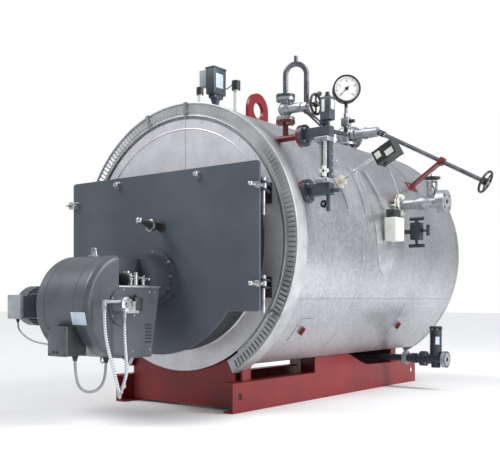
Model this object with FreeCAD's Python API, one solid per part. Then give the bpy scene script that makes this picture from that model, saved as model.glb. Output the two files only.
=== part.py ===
# Three-pass fire-tube steam boiler on a channel skid, with a hinged burner door.
# Millimetres. X across the boiler (+X is the fittings side), Y along it (front door
# at -Y, rear at +Y), Z up. Everything is set out from the shell's front ring; the export
# then moves the origin to the floor between the four anchor holes.
import FreeCAD, Part
import math
import os

V = FreeCAD.Vector
AX, AY, AZ = V(1, 0, 0), V(0, 1, 0), V(0, 0, 1)

# ---- driving dimensions --------------------------------------------------------------
AXIS_Z = 908.0            # height of the shell's axis
CLAD_R = 793.0            # outside of the cladding
CLAD_OPEN = 35.0          # half angle left open under the shell, degrees
VESSEL_R = 708.0          # outside of the pressure vessel
VESSEL_WALL = 10.0
SHELL_LENGTH = 2100.0     # ring face to rear end plate
SEAT = 0.3                # gap between pieces that seat on each other
RING_R = 800.0            # louvred end ring
RING_WIDTH = 75.0
RING_DEPTH = 87.0
RING_OPEN = 28.7
SHEET = 3.0

SKID_HALF = 438.0         # centre to the channels' outer web face
SKID_FRONT, SKID_REAR = -68.0, 2145.0
CHANNEL_H, CHANNEL_B = 160.0, 65.0
CHANNEL_WEB, CHANNEL_FLANGE = 8.0, 10.0
LOW_BEAM_H = 102.0        # the far channel between its ends
LOW_BEAM_FROM, LOW_BEAM_TO = 190.0, 1790.0
SADDLE_T = 12.0
SADDLE_FRONT_Y, SADDLE_REAR_Y = 25.0, 1850.0
POST_X, POST_T, POST_W = 404.0, 12.0, 76.0
POST_Y = (52.0, 1805.0)
WEB_START, WEB_END = 744.0, 1400.0
ANCHOR_R = 9.0
ANCHOR_INSET = 60.0
LIFT_HOLE_R = 19.0

DRUM_R, DRUM_WALL = 592.0, 8.0
DRUM_TOP = 1272.0         # flat top of the front drum, door disc and plug
TUBE_PLATE_Y, TUBE_PLATE_T = 60.0, 14.0
REAR_PLATE_Y = 1880.0
FURNACE_R, FURNACE_WALL, FURNACE_DROP = 250.0, 8.0, 190.0
FIRE_TUBE_R, FIRE_TUBE_WALL = 38.0, 4.0
FIRE_TUBE_COLUMNS, FIRE_TUBE_PITCH = 6, 120.0
FIRE_TUBE_RISE = (152.0, 257.0)
FIT = 0.5                 # tube in tube-plate hole

DOOR_HALF_W = 687.0
DOOR_BOTTOM, DOOR_TOP = 545.0, 1293.0
DOOR_T = 15.0
DOOR_FACE_Y = -180.0
DOOR_CORNER = 14.0
APRON_R, APRON_TOP = 607.0, 700.0     # the plate's round lower edge
DISC_R, DISC_T = 575.0, 50.0
DISC_FACE_Y = DOOR_FACE_Y + DOOR_T
DISC_TOP = DRUM_TOP - 17
PLUG_R, PLUG_T = 480.0, 40.0
PLUG_TOP = DRUM_TOP - 90
PIN_X, PIN_Y, PIN_R = 683.0, -138.0, 10.0
PIN_PLAY = 0.08
EYE_R, EYE_T = 19.0, 22.0
LUG_R = 18.0
HINGE_Z = (682.0, 1169.0)
PIN_SPAN = (-145.0, 42.0)     # pin ends about each eye
LUG_T, LUG_GAP = 12.0, 1.5
NUT_R = 21.0

BURNER_X = 0.0
BURNER_HALF_W = 190.0
BODY_BOTTOM, BODY_TOP = 315.0, 668.0
BODY_REAR_LOW, BODY_REAR_MID, BODY_REAR_TOP = -425.0, -416.0, -364.0
FAN_Y, FAN_Z, FAN_R = -612.0, 568.0, 255.0
HOOD_LEFT, HOOD_RIGHT = -145.0, 40.0
HEAD_PLATE_T = 35.0
HEAD_PLATE_LOW, HEAD_R, HEAD_Z = 638.0, 145.0, 727.0
BLAST_R, BLAST_REACH = 110.0, 200.0
MOTOR_R, MOTOR_L = 107.0, 340.0
PUMP_R, PUMP_L = 38.0, 70.0

FLANGE_115, FLANGE_105, FLANGE_140 = 57.5, 50.0, 70.0
STEAM_Y = 1620.0
ROD_R = 14.0


# ---- helpers -------------------------------------------------------------------------
def box(x0, x1, y0, y1, z0, z1):
    return Part.makeBox(x1 - x0, y1 - y0, z1 - z0, V(x0, y0, z0))


def cyl(base, direction, r, length):
    return Part.makeCylinder(r, length, V(*base), direction)


def pipe(base, direction, r, wall, length):
    return cyl(base, direction, r, length).cut(cyl(base, direction, r - wall, length))


def fuse(pieces):
    whole = pieces[0].multiFuse(pieces[1:]) if len(pieces) > 1 else pieces[0]
    return whole.removeSplitter()


def prism(points, lift):
    wire = Part.makePolygon([V(*p) for p in points + points[:1]])
    return Part.Face(wire).extrude(lift)


def on_shell(angle, y, r):
    """A point at a radius from the shell's axis; angle in degrees up from +X."""
    a = math.radians(angle)
    return V(r * math.cos(a), y, AXIS_Z + r * math.sin(a))


def radial(angle):
    a = math.radians(angle)
    return V(math.cos(a), 0, math.sin(a))


def ring_sector(r_out, r_in, y0, y1, half_open):
    """A tube about the shell's axis with a gap of 2 x half_open degrees at the bottom."""
    tube = pipe((0, y0, AXIS_Z), AY, r_out, r_out - r_in, y1 - y0)
    a = math.radians(half_open)
    reach = 1.6 * r_out
    low = [(0, y0 - 1, AXIS_Z), (reach * math.sin(a), y0 - 1, AXIS_Z - reach * math.cos(a)),
           (-reach * math.sin(a), y0 - 1, AXIS_Z - reach * math.cos(a))]
    return tube.cut(prism(low, V(0, y1 - y0 + 2, 0)))


def flat_topped(r, top, y0, y1):
    """A disc about the shell's axis, cut flat at a height."""
    disc = cyl((0, y0, AXIS_Z), AY, r, y1 - y0)
    return disc.common(box(-r, r, y0, y1, AXIS_Z - r - 1, top))


def hexagon(base, direction, across, height):
    """A hex nut or head; across is its width over the corners."""
    d = V(direction).normalize()
    side = d.cross(AZ if abs(d.z) < 0.9 else AX).normalize()
    up = d.cross(side)
    b = V(*base)
    ring = []
    for i in range(6):
        a = math.radians(60 * i)
        ring.append(b + side * (across / 2 * math.cos(a)) + up * (across / 2 * math.sin(a)))
    wire = Part.makePolygon(ring + ring[:1])
    return Part.Face(wire).extrude(d * height)


def flange(base, direction, r, thick, bolts, bolt_r, pcd, bore):
    """A round pipe flange with bolt holes; thick is measured along direction."""
    d = V(direction).normalize()
    side = d.cross(AZ if abs(d.z) < 0.9 else AX).normalize()
    up = d.cross(side)
    b = V(*base)
    disc = Part.makeCylinder(r, thick, b, d)
    cutters = []
    if bore > 0:
        cutters.append(Part.makeCylinder(bore, thick, b, d))
    for i in range(bolts):
        a = math.radians(360.0 * (i + 0.5) / bolts)
        c = b + side * (pcd / 2 * math.cos(a)) + up * (pcd / 2 * math.sin(a))
        cutters.append(Part.makeCylinder(bolt_r, thick, c, d))
    return disc.cut(Part.makeCompound(cutters)) if cutters else disc


def handwheel(centre, direction, r, tube_r, spokes, hub_r, hub_len, bore):
    """A rim on spokes with a bored hub, turning about direction through centre."""
    d = V(direction).normalize()
    c = V(*centre)
    side = d.cross(AZ if abs(d.z) < 0.9 else AX).normalize()
    up = d.cross(side)
    rim = Part.makeTorus(r - tube_r, tube_r, c, d)
    hub = Part.makeCylinder(hub_r, hub_len, c - d * (hub_len / 2), d)
    pieces = [rim, hub]
    for i in range(spokes):
        a = 2 * math.pi * i / spokes
        out = side * math.cos(a) + up * math.sin(a)
        pieces.append(Part.makeCylinder(0.7 * tube_r, r - tube_r, c, out))
    wheel = fuse(pieces)
    return wheel.cut(Part.makeCylinder(bore, hub_len * 2, c - d * hub_len, d)) if bore else wheel


def tube_along(points, r, name):
    """A solid tube of straight runs and tangent arcs through a cord's points."""
    pts = [V(*p) for p in points]
    edges = []
    start = pts[0]
    radii = []
    for a, b, c in zip(pts, pts[1:], pts[2:]):
        u, w = (b - a).normalize(), (c - b).normalize()
        turn = u.getAngle(w)
        back = 0.45 * min((b - a).Length, (c - b).Length)
        radii.append(back / math.tan(turn / 2))
        p, q = b - u * back, b + w * back
        bis = (w - u).normalize()
        centre = b + bis * (radii[-1] / math.cos(turn / 2))
        mid = centre - bis * radii[-1]
        edges.append(Part.makeLine(start, p))
        edges.append(Part.Arc(p, mid, q).toShape())
        start = q
    edges.append(Part.makeLine(start, pts[-1]))
    path = Part.Wire(edges)
    first = (pts[1] - pts[0]).normalize()
    section = Part.Wire(Part.makeCircle(r, pts[0], first))
    solid = path.makePipeShell([section], True, True)
    if solid.Volume < 0:
        solid.reverse()
    ideal = math.pi * r * r * path.Length
    print(name, "length", round(path.Length), "least bend radius", round(min(radii), 1),
          "volume ratio", round(solid.Volume / ideal, 4))
    return solid


ORIGIN_Y = (SKID_FRONT + SKID_REAR) / 2


def export(name, shape):
    whole = Part.makeCompound(shape) if isinstance(shape, list) else shape.copy()
    whole.translate(V(0, -ORIGIN_Y, 0))
    whole.exportStep("parts/" + name + ".step")


# ---- skid -----------------------------------------------------------------------------
def channel(side):
    """One long channel, web outside; side is +1 or -1."""
    out, tip = side * SKID_HALF, side * (SKID_HALF - CHANNEL_B)
    inner = side * (SKID_HALF - CHANNEL_WEB)
    xs = sorted((out, tip))
    beam = box(xs[0], xs[1], SKID_FRONT, SKID_REAR, 0, CHANNEL_H)
    hs = sorted((inner, tip - side))
    beam = beam.cut(box(hs[0], hs[1], SKID_FRONT - 1, SKID_REAR + 1,
                        CHANNEL_FLANGE, CHANNEL_H - CHANNEL_FLANGE))
    cuts = []
    for y in (SKID_FRONT + ANCHOR_INSET, SKID_REAR - ANCHOR_INSET):
        cuts.append(cyl((side * (SKID_HALF - 38), y, -1), AZ, ANCHOR_R, CHANNEL_FLANGE + 2))
        cuts.append(cyl((side * (SKID_HALF + 5), y, 85), AX * -side, LIFT_HOLE_R, 20))
    return beam.cut(Part.makeCompound(cuts))


def lower_beam(beam):
    """Take the far channel down to its lower height between its ends."""
    web = box(-SKID_HALF - 1, -SKID_HALF + CHANNEL_B + 1, LOW_BEAM_FROM, LOW_BEAM_TO,
              LOW_BEAM_H, CHANNEL_H + 1)
    top = box(-SKID_HALF, -SKID_HALF + CHANNEL_B, LOW_BEAM_FROM - 10, LOW_BEAM_TO + 10,
              LOW_BEAM_H - CHANNEL_FLANGE, LOW_BEAM_H)
    return beam.cut(web).fuse(top)


def saddle(y):
    """A cross plate between the channels with an arc that carries the vessel."""
    half = SKID_HALF - CHANNEL_B + 2
    top = AXIS_Z - math.sqrt(VESSEL_R ** 2 - half ** 2) - 6
    plate = box(-half, half, y, y + SADDLE_T, CHANNEL_FLANGE + 4, top)
    return plate.cut(cyl((0, y - 1, AXIS_Z), AY, VESSEL_R + SEAT, SADDLE_T + 2))


def make_skid():
    pieces = [channel(1), lower_beam(channel(-1))]
    for y in (SADDLE_FRONT_Y, SADDLE_REAR_Y):
        pieces.append(saddle(y))
    clad_edge = AXIS_Z - CLAD_R * math.cos(math.radians(CLAD_OPEN)) - 4
    for side in (-1, 1):
        for y in POST_Y:
            x0 = side * POST_X - POST_T / 2
            post = box(x0, x0 + POST_T, y, y + POST_W, CHANNEL_H - 5, AXIS_Z - 590)
            pieces.append(post)
    x0 = SKID_HALF - POST_T
    web = [(x0, WEB_START, CHANNEL_H - 20), (x0, WEB_START, clad_edge),
           (x0, WEB_END - 250, clad_edge), (x0, WEB_END - 80, CHANNEL_H + 30),
           (x0, WEB_END, CHANNEL_H + 8), (x0, WEB_END + 300, CHANNEL_H + 2),
           (x0, WEB_END + 300, CHANNEL_H - 20)]
    pieces.append(prism(web, V(POST_T, 0, 0)))
    clear = [ring_sector(RING_R + 1, RING_R - SHEET - 1, -1, RING_DEPTH + 1, RING_OPEN - 0.4),
             ring_sector(RING_R + 1, RING_R - RING_WIDTH - 1, -1, 10, RING_OPEN - 0.4),
             ring_sector(CLAD_R + SEAT, VESSEL_R + SEAT, 0, SHELL_LENGTH + 4, CLAD_OPEN - 0.4)]
    return fuse(pieces).cut(Part.makeCompound(clear))


# ---- vessel ---------------------------------------------------------------------------
def fire_tube_centres():
    """Tube centres in two rows over the furnace, as (x, z)."""
    centres = []
    for rise in FIRE_TUBE_RISE:
        for i in range(FIRE_TUBE_COLUMNS):
            x = (i - (FIRE_TUBE_COLUMNS - 1) / 2) * FIRE_TUBE_PITCH
            centres.append((x, AXIS_Z + rise))
    return centres


def tube_plate(y, furnace_hole):
    plate = cyl((0, y, AXIS_Z), AY, VESSEL_R - VESSEL_WALL - SEAT, TUBE_PLATE_T)
    holes = [cyl((x, y - 1, z), AY, FIRE_TUBE_R + FIT, TUBE_PLATE_T + 2)
             for x, z in fire_tube_centres()]
    if furnace_hole:
        holes.append(cyl((0, y - 1, AXIS_Z - FURNACE_DROP), AY, FURNACE_R + FIT,
                         TUBE_PLATE_T + 2))
    return plate.cut(Part.makeCompound(holes))


def make_furnace():
    z = AXIS_Z - FURNACE_DROP
    length = REAR_PLATE_Y - TUBE_PLATE_Y - 250
    outer = cyl((0, TUBE_PLATE_Y - 8, z), AY, FURNACE_R, length)
    return outer.cut(cyl((0, TUBE_PLATE_Y - 9, z), AY, FURNACE_R - FURNACE_WALL,
                         length - FURNACE_WALL))


def make_fire_tubes():
    y0 = TUBE_PLATE_Y - 4
    length = REAR_PLATE_Y + TUBE_PLATE_T + 4 - y0
    return [pipe((x, y0, z), AY, FIRE_TUBE_R, FIRE_TUBE_WALL, length)
            for x, z in fire_tube_centres()]


def make_cladding():
    return ring_sector(CLAD_R, VESSEL_R + SEAT, 9 + SEAT, SHELL_LENGTH - 12, CLAD_OPEN)


def make_end_ring(y_face, inward):
    """The sheet ring over the cladding's end: a flat face and a cylindrical return."""
    y0, y1 = sorted((y_face, y_face + inward * SHEET))
    face = ring_sector(RING_R, RING_R - RING_WIDTH, y0, y1, RING_OPEN)
    y2, y3 = sorted((y_face, y_face + inward * RING_DEPTH))
    wrap = ring_sector(RING_R, RING_R - SHEET, y2, y3, RING_OPEN)
    y4, y5 = sorted((y_face, y_face + inward * 9))
    lip = ring_sector(RING_R - RING_WIDTH + SHEET, RING_R - RING_WIDTH, y4, y5, RING_OPEN)
    return fuse([face, wrap, lip])


def make_front_end_plate():
    """Flat sheet end inside the ring, open where the front drum passes."""
    plate = cyl((0, 1, AXIS_Z), AY, VESSEL_R - 1, 6)
    return plate.cut(flat_topped(DRUM_R - 25, DRUM_TOP - 25, 0, 8))


DRUM_MOUTH_Y = DISC_FACE_Y + 7


def make_drum():
    """Flat-topped drum before the end plate, with a throat back to the tube plate."""
    wall = DRUM_WALL
    body = flat_topped(DRUM_R, DRUM_TOP, DRUM_MOUTH_Y, 1 - SEAT)
    body = body.cut(flat_topped(DRUM_R - wall, DRUM_TOP - wall, DRUM_MOUTH_Y - 1, -6))
    body = body.cut(flat_topped(DRUM_R - 36, DRUM_TOP - 36, -7, 2))
    throat = flat_topped(DRUM_R - 26, DRUM_TOP - 26, -6, TUBE_PLATE_Y - SEAT)
    throat = throat.cut(flat_topped(DRUM_R - 36, DRUM_TOP - 36, -7, TUBE_PLATE_Y))
    return fuse([body, throat])


REAR_COVER_Y = SHELL_LENGTH - 12 + SEAT


def make_rear_cover():
    """Flat insulated rear end with holes for the flue spigot and the hatch."""
    cover = ring_sector(CLAD_R - 2, VESSEL_R - 120, REAR_COVER_Y, REAR_COVER_Y + 12, RING_OPEN)
    cover = cover.fuse(cyl((0, REAR_COVER_Y, AXIS_Z), AY, VESSEL_R - 2, 12)).removeSplitter()
    holes = [cyl((0, REAR_COVER_Y - 1, AXIS_Z + 330), AY, 150 + FIT, 14)]
    return cover.cut(Part.makeCompound(holes))


def make_flue():
    y0 = REAR_COVER_Y - 60
    tube = pipe((0, y0, AXIS_Z + 330), AY, 150, 5, 190)
    rim = pipe((0, REAR_COVER_Y + 12 + SEAT, AXIS_Z + 330), AY, 190, 41, 8)
    return fuse([tube, rim])


def make_hatch():
    """Round cleaning hatch low on the rear end."""
    y0 = REAR_COVER_Y + 12 + SEAT
    lid = cyl((0, y0, AXIS_Z - 260), AY, 190, 14)
    boss = cyl((0, y0 + 14, AXIS_Z - 260), AY, 120, 12)
    handle = [box(-70, -58, y0 + 26, y0 + 60, AXIS_Z - 266, AXIS_Z - 254),
              box(58, 70, y0 + 26, y0 + 60, AXIS_Z - 266, AXIS_Z - 254),
              box(-70, 70, y0 + 50, y0 + 60, AXIS_Z - 266, AXIS_Z - 254)]
    return fuse([lid, boss] + handle)


# ---- hinge and door -------------------------------------------------------------------
def make_brackets():
    brackets = []
    for z in HINGE_Z:
        half = EYE_T / 2 + LUG_GAP + LUG_T
        outline = [(588, -8), (640, -8), (PIN_X + LUG_R, PIN_Y), (PIN_X - 10, PIN_Y - 14),
                   (600, -40)]
        base = box(585, 640, -8, 1 - SEAT, z - 70, z + 36)
        arms = []
        for lo in (z - half, z + half - LUG_T):
            arms.append(prism([(x, y, lo) for x, y in outline], V(0, 0, LUG_T)))
            arms.append(cyl((PIN_X, PIN_Y, lo), AZ, LUG_R, LUG_T))
        whole = fuse([base] + arms)
        hole = cyl((PIN_X, PIN_Y, z - 100), AZ, PIN_R + PIN_PLAY, 200)
        brackets.append(whole.cut(hole))
    return brackets


def make_pins():
    pins = []
    for z in HINGE_Z:
        shaft = cyl((PIN_X, PIN_Y, z + PIN_SPAN[0]), AZ, PIN_R, PIN_SPAN[1] - PIN_SPAN[0])
        top = z + EYE_T / 2 + LUG_GAP + LUG_T + SEAT
        head = cyl((PIN_X, PIN_Y, top), AZ, PIN_R + 5, z + PIN_SPAN[1] - top)
        pins.append(fuse([shaft, head]))
    return pins


def make_eyes():
    """Eye bolts on the hinge pins, through the door plate's slots, with long cap nuts."""
    eyes = []
    for z in HINGE_Z:
        eye = cyl((PIN_X, PIN_Y, z - EYE_T / 2), AZ, EYE_R, EYE_T)
        shank = cyl((PIN_X, PIN_Y, z), AY * -1, 9, abs(DOOR_FACE_Y - PIN_Y) + 12)
        washer = cyl((PIN_X, DOOR_FACE_Y - SEAT, z), AY * -1, 18, 5)
        nut = hexagon((PIN_X, DOOR_FACE_Y - SEAT - 5, z), AY * -1, 34, 24)
        cap = cyl((PIN_X, DOOR_FACE_Y - 28, z), AY * -1, 13, 40)
        tip = Part.makeSphere(13, V(PIN_X, DOOR_FACE_Y - 68, z))
        whole = fuse([eye, shank, washer, nut, cap, tip])
        eyes.append(whole.cut(cyl((PIN_X, PIN_Y, z - 30), AZ, PIN_R + PIN_PLAY, 60)))
    return eyes


def make_door_plate():
    """Flat door plate with a round lower apron and slots for the eye bolts."""
    half = DOOR_HALF_W
    plate = box(-half, half, DOOR_FACE_Y, DISC_FACE_Y, DOOR_BOTTOM, DOOR_TOP)
    corners = [e for e in plate.Edges
               if abs(e.Vertexes[0].Y - e.Vertexes[1].Y) > 1]
    plate = plate.makeFillet(DOOR_CORNER, corners)
    apron = cyl((0, DOOR_FACE_Y, AXIS_Z), AY, APRON_R, DOOR_T)
    apron = apron.common(box(-APRON_R, APRON_R, DOOR_FACE_Y, DISC_FACE_Y,
                             AXIS_Z - APRON_R, APRON_TOP))
    cuts = []
    for z in HINGE_Z:
        cuts.append(cyl((PIN_X, DOOR_FACE_Y - 1, z), AY, 9.5, DOOR_T + 2))
        cuts.append(box(PIN_X, half + 1, DOOR_FACE_Y - 1, DISC_FACE_Y + 1, z - 9.5, z + 9.5))
    return fuse([plate, apron]).cut(Part.makeCompound(cuts))


def make_door_lining():
    """Insulating disc behind the plate with a smaller plug, bored for the flame tube."""
    y0 = DISC_FACE_Y + SEAT
    y1 = y0 + DISC_T
    disc = flat_topped(DISC_R, DISC_TOP, y0, y1)
    plug = flat_topped(PLUG_R, PLUG_TOP, y1 - 1, y1 + PLUG_T)
    bore = cyl((BURNER_X, y0 - 1, AXIS_Z - FURNACE_DROP), AY, BLAST_R + SEAT, 120)
    return fuse([disc, plug]).cut(bore)


def make_blast_tube():
    """Flame tube of the burner, through the lining towards the furnace."""
    y0 = DISC_FACE_Y + SEAT
    return pipe((BURNER_X, y0, AXIS_Z - FURNACE_DROP), AY, BLAST_R, 5, BLAST_REACH)


NUT_PLACES = ((-303, 1255), (292, 1258), (-655, 1165), (-655, 682))


def make_door_nuts():
    """Cap nuts on the closing studs."""
    nuts = []
    for x, z in NUT_PLACES:
        base = cyl((x, DOOR_FACE_Y - SEAT, z), AY * -1, NUT_R, 5)
        nut = hexagon((x, DOOR_FACE_Y - SEAT - 5, z), AY * -1, 1.75 * NUT_R, 18)
        dome = Part.makeSphere(0.72 * NUT_R, V(x, DOOR_FACE_Y - 24, z))
        nuts.append(fuse([base, nut, dome]))
    return nuts


def make_sight_glass():
    """Flame sight glass: a stub, a ring and a tail that rises to a round end."""
    x, z = 30.0, 1000.0
    y = DOOR_FACE_Y - SEAT
    stub = cyl((x, y, z), AY * -1, 20, 76)
    ring = cyl((x, y - 72, z), AY * -1, 33, 14)
    start = V(x, y - 78, z)
    end = V(x, y - 170, z + 20)
    neck = Part.makeCylinder(12, (end - start).Length, start, end - start)
    ball = Part.makeSphere(19, end)
    return fuse([stub, ring, neck, ball])


# ---- burner ---------------------------------------------------------------------------
HEAD_PLATE_Y = DOOR_FACE_Y - SEAT - HEAD_PLATE_T


def make_burner_flange():
    """Thick arched mounting plate on the door."""
    x0, x1 = BURNER_X - HEAD_R, BURNER_X + HEAD_R
    y0, y1 = HEAD_PLATE_Y, HEAD_PLATE_Y + HEAD_PLATE_T
    plate = box(x0, x1, y0, y1, HEAD_PLATE_LOW, HEAD_Z)
    return fuse([plate, cyl((BURNER_X, y0, HEAD_Z), AY, HEAD_R, HEAD_PLATE_T)])


def make_housing():
    """Round fan case and air box in one, with a ledge for the linkage."""
    x0 = BURNER_X - BURNER_HALF_W
    drum = cyl((x0, FAN_Y, FAN_Z), AX, FAN_R, 2 * BURNER_HALF_W)
    rims = [e for e in drum.Edges if e.Curve.TypeId == "Part::GeomCircle"]
    drum = drum.makeFillet(28, rims)
    side = [(x0, FAN_Y, BODY_BOTTOM), (x0, BODY_REAR_LOW, BODY_BOTTOM),
            (x0, BODY_REAR_MID, BODY_BOTTOM + 66), (x0, BODY_REAR_TOP, BODY_TOP),
            (x0, FAN_Y, BODY_TOP)]
    body = prism(side, V(2 * BURNER_HALF_W, 0, 0))
    ledge = box(HOOD_RIGHT + 15, BURNER_HALF_W + 1, -655, BODY_REAR_TOP + 20,
                BODY_TOP, FAN_Z + FAN_R + 10)
    behind = [(x0 - 1, BODY_REAR_LOW, BODY_BOTTOM - 9), (x0 - 1, BODY_REAR_LOW, BODY_BOTTOM),
              (x0 - 1, BODY_REAR_MID, BODY_BOTTOM + 66), (x0 - 1, BODY_REAR_TOP, BODY_TOP),
              (x0 - 1, BODY_REAR_TOP, FAN_Z + FAN_R), (x0 - 1, BODY_REAR_TOP + 200, FAN_Z + FAN_R),
              (x0 - 1, BODY_REAR_TOP + 200, BODY_BOTTOM - 9)]
    rear = prism(behind, V(2 * BURNER_HALF_W + 2, 0, 0))
    return fuse([drum, body]).cut(ledge).cut(rear)


def make_head():
    """Round head on the mounting plate with the sloping air hood over the fan."""
    y1 = HEAD_PLATE_Y - SEAT
    y0 = BODY_REAR_TOP + SEAT
    head = cyl((BURNER_X, y0, HEAD_Z), AY, HEAD_R - 12, y1 - y0)
    side = [(HOOD_LEFT, FAN_Y, FAN_Z + FAN_R - 1), (HOOD_LEFT, y1, HEAD_Z + 84),
            (HOOD_LEFT, y1, BODY_TOP + SEAT), (HOOD_LEFT, FAN_Y, BODY_TOP + SEAT)]
    hood = prism(side, V(HOOD_RIGHT - HOOD_LEFT, 0, 0))
    hood = hood.cut(cyl((HOOD_LEFT - 1, FAN_Y, FAN_Z), AX, FAN_R + SEAT, 300))
    return fuse([head, hood])


MOTOR_X = BURNER_X - BURNER_HALF_W - SEAT


def make_motor():
    """Motor beside the fan with its terminal box in front."""
    drum = cyl((MOTOR_X, FAN_Y, FAN_Z), AX * -1, MOTOR_R, MOTOR_L)
    cap = cyl((MOTOR_X - MOTOR_L, FAN_Y, FAN_Z), AX * -1, MOTOR_R - 12, 25)
    x1 = MOTOR_X - MOTOR_L + 175
    block = box(x1 - 100, x1, FAN_Y - MOTOR_R - 105, FAN_Y, FAN_Z - 62, FAN_Z + 55)
    return fuse([drum, cap, block])


def make_control_box():
    block = box(-30, 100, -909, FAN_Y, 334, 474)
    return block.cut(box(-31, 101, -760, 0, 300, 480)).cut(
        cyl((-31, FAN_Y, FAN_Z), AX, FAN_R + SEAT, 132))


PUMP_X = BURNER_X + BURNER_HALF_W + SEAT


def make_pump():
    """Oil pump on the fan's axis, with two hose elbows and a solenoid."""
    body = cyl((PUMP_X, FAN_Y - 60, FAN_Z + 10), AX, PUMP_R, PUMP_L)
    block = box(PUMP_X, PUMP_X + 60, FAN_Y - 62, FAN_Y + 35, FAN_Z - 32, FAN_Z + 25)
    coil = box(PUMP_X + 12, PUMP_X + 58, FAN_Y + 10, FAN_Y + 62, FAN_Z - 20, FAN_Z + 42)
    arm_a = cyl((HOSE_A[0][0], HOSE_A[0][1], FAN_Z + 25), AY, 9, 150)
    drop_a = cyl((HOSE_A[0][0], HOSE_A[0][1], HOSE_A[0][2]), AZ, 11,
                 FAN_Z + 25 - HOSE_A[0][2] + 9)
    drop_b = cyl(HOSE_B[0], AZ, 11, FAN_Z - 20 - HOSE_B[0][2])
    return fuse([body, block, coil, arm_a, drop_a, drop_b])


def make_linkage():
    """Air damper servo and linkage block on the body's top deck."""
    z = BODY_TOP + SEAT
    servo = box(62, 150, -560, -478, z, z + 62)
    gauge = cyl((168, -520, z), AZ, 14, 70)
    arm = box(62, 170, -472, -462, z, z + 48)
    rod = cyl((165, -505, z + 40), AY, 5, 70)
    plate = box(60, 184, -580, -440, z, z + 6)
    return fuse([servo, gauge, arm, rod, plate])


def make_burner_eye():
    """Lifting ring under the burner and a lug on top of the fan."""
    ring = Part.makeTorus(14, 4, V(60, -640, FAN_Z - FAN_R - 12), AX)
    ring = ring.cut(cyl((0, FAN_Y, FAN_Z), AX, FAN_R + SEAT, 200))
    top = FAN_Z + FAN_R
    lug = box(-44, -16, -622, -612, top - 6, top + 30)
    crown = cyl((-30, -622, top + 30), AY, 14, 10)
    foot = box(-52, -8, -636, -604, top - 6, top + 5)
    lug = fuse([lug, crown, foot]).cut(cyl((-30, -640, top + 30), AY, 6, 40))
    lug = lug.cut(cyl((-100, FAN_Y, FAN_Z), AX, FAN_R + SEAT, 200))
    return [ring, lug]


# ---- cords ----------------------------------------------------------------------------
HOSE_R = 8.0
HOSE_A = [(250, -806, 560), (250, -806, 500), (250, -797, 420), (250, -772, 340),
          (250, -744, 260), (250, -722, 200), (250, -712, 160)]
HOSE_B = [(250, -676, 500), (250, -676, 440), (252, -672, 370), (257, -668, 300),
          (255, -668, 240), (246, -675, 200), (235, -684, 162)]
CONDUIT_R = 7.0
CONDUIT = [(70, -828, 333.7), (70, -828, 209.6), (77.3, -776.4, 152.5),
           (87.7, -701.6, 152.5), (95, -650, 209.6), (95, -650, 314.6)]
MOTOR_CABLE_R = 4.5
MOTOR_CABLE = [(-440, -775, 505.7), (-440, -775, 480), (-418, -788, 448),
               (-360, -806, 424), (-290, -826, 404), (-210, -842, 390),
               (-130, -848, 384), (-70, -850, 382), (-30.3, -850, 382)]
PROBE_CABLE_R = 4.5


def make_hose_nuts():
    nuts = []
    for route in (HOSE_A, HOSE_B):
        end, before = V(*route[-1]), V(*route[-2])
        d = (end - before).normalize()
        nut = hexagon(tuple(end), d, 21, 22)
        stem = Part.makeCylinder(7, 30, end, d)
        nuts.append(fuse([nut, stem]))
    return nuts


# ---- fittings on top ------------------------------------------------------------------
TOP_Z = AXIS_Z + CLAD_R + SEAT


def crest(x):
    """Height of the cladding at x near the top."""
    return AXIS_Z + math.sqrt(CLAD_R ** 2 - x ** 2) + SEAT


def make_lifting_eye():
    y, half = 752.0, 106.0
    plate = box(-12, 12, y - half, y + half, TOP_Z - 20, TOP_Z + 110)
    crown = cyl((-12, y, TOP_Z + 110), AX, half, 24)
    pad = box(-60, 60, y - half - 20, y + half + 20, TOP_Z - 20, TOP_Z + 10)
    whole = fuse([plate, crown, pad])
    hole = cyl((-13, y, TOP_Z + 108), AX, 52, 26)
    shell = cyl((0, y - 200, AXIS_Z), AY, CLAD_R + SEAT, 400)
    return whole.cut(hole).cut(shell)


def make_controller():
    """Level controller head on a tapered stem."""
    y = 301.0
    stem = Part.makeCone(26, 46, 70, V(0, y, TOP_Z - 4), AZ)
    stem = stem.cut(cyl((0, y - 100, AXIS_Z), AY, CLAD_R + SEAT, 200))
    front = box(-58, 58, y - 58, y + 2, TOP_Z + 66, TOP_Z + 270)
    rear = box(-50, 50, y + 2, y + 58, TOP_Z + 66, TOP_Z + 262)
    return fuse([stem, front, rear])


def make_probes():
    """Short capped probe and a long sleeve with a connector head."""
    probes = []
    for y, r, height, cap_r, cap_h in ((185.0, 14, 100, 20, 42), (531.0, 17, 200, 26, 56)):
        sleeve = cyl((0, y, TOP_Z - 3), AZ, r, height)
        cap = cyl((0, y, TOP_Z - 3 + height), AZ, cap_r, cap_h)
        collar = hexagon((0, y, TOP_Z - 3), AZ, 2.9 * r, 22)
        whole = fuse([sleeve, cap, collar])
        probes.append(whole.cut(cyl((0, y - 60, AXIS_Z), AY, CLAD_R + SEAT, 120)))
    return probes


# ---- main steam valve and remote spindle ---------------------------------------------
ROD_START = V(440, STEAM_Y, 1746)
ROD_END = V(1164, STEAM_Y, 1344)
ROD_DIR = (ROD_END - ROD_START).normalize()


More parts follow.
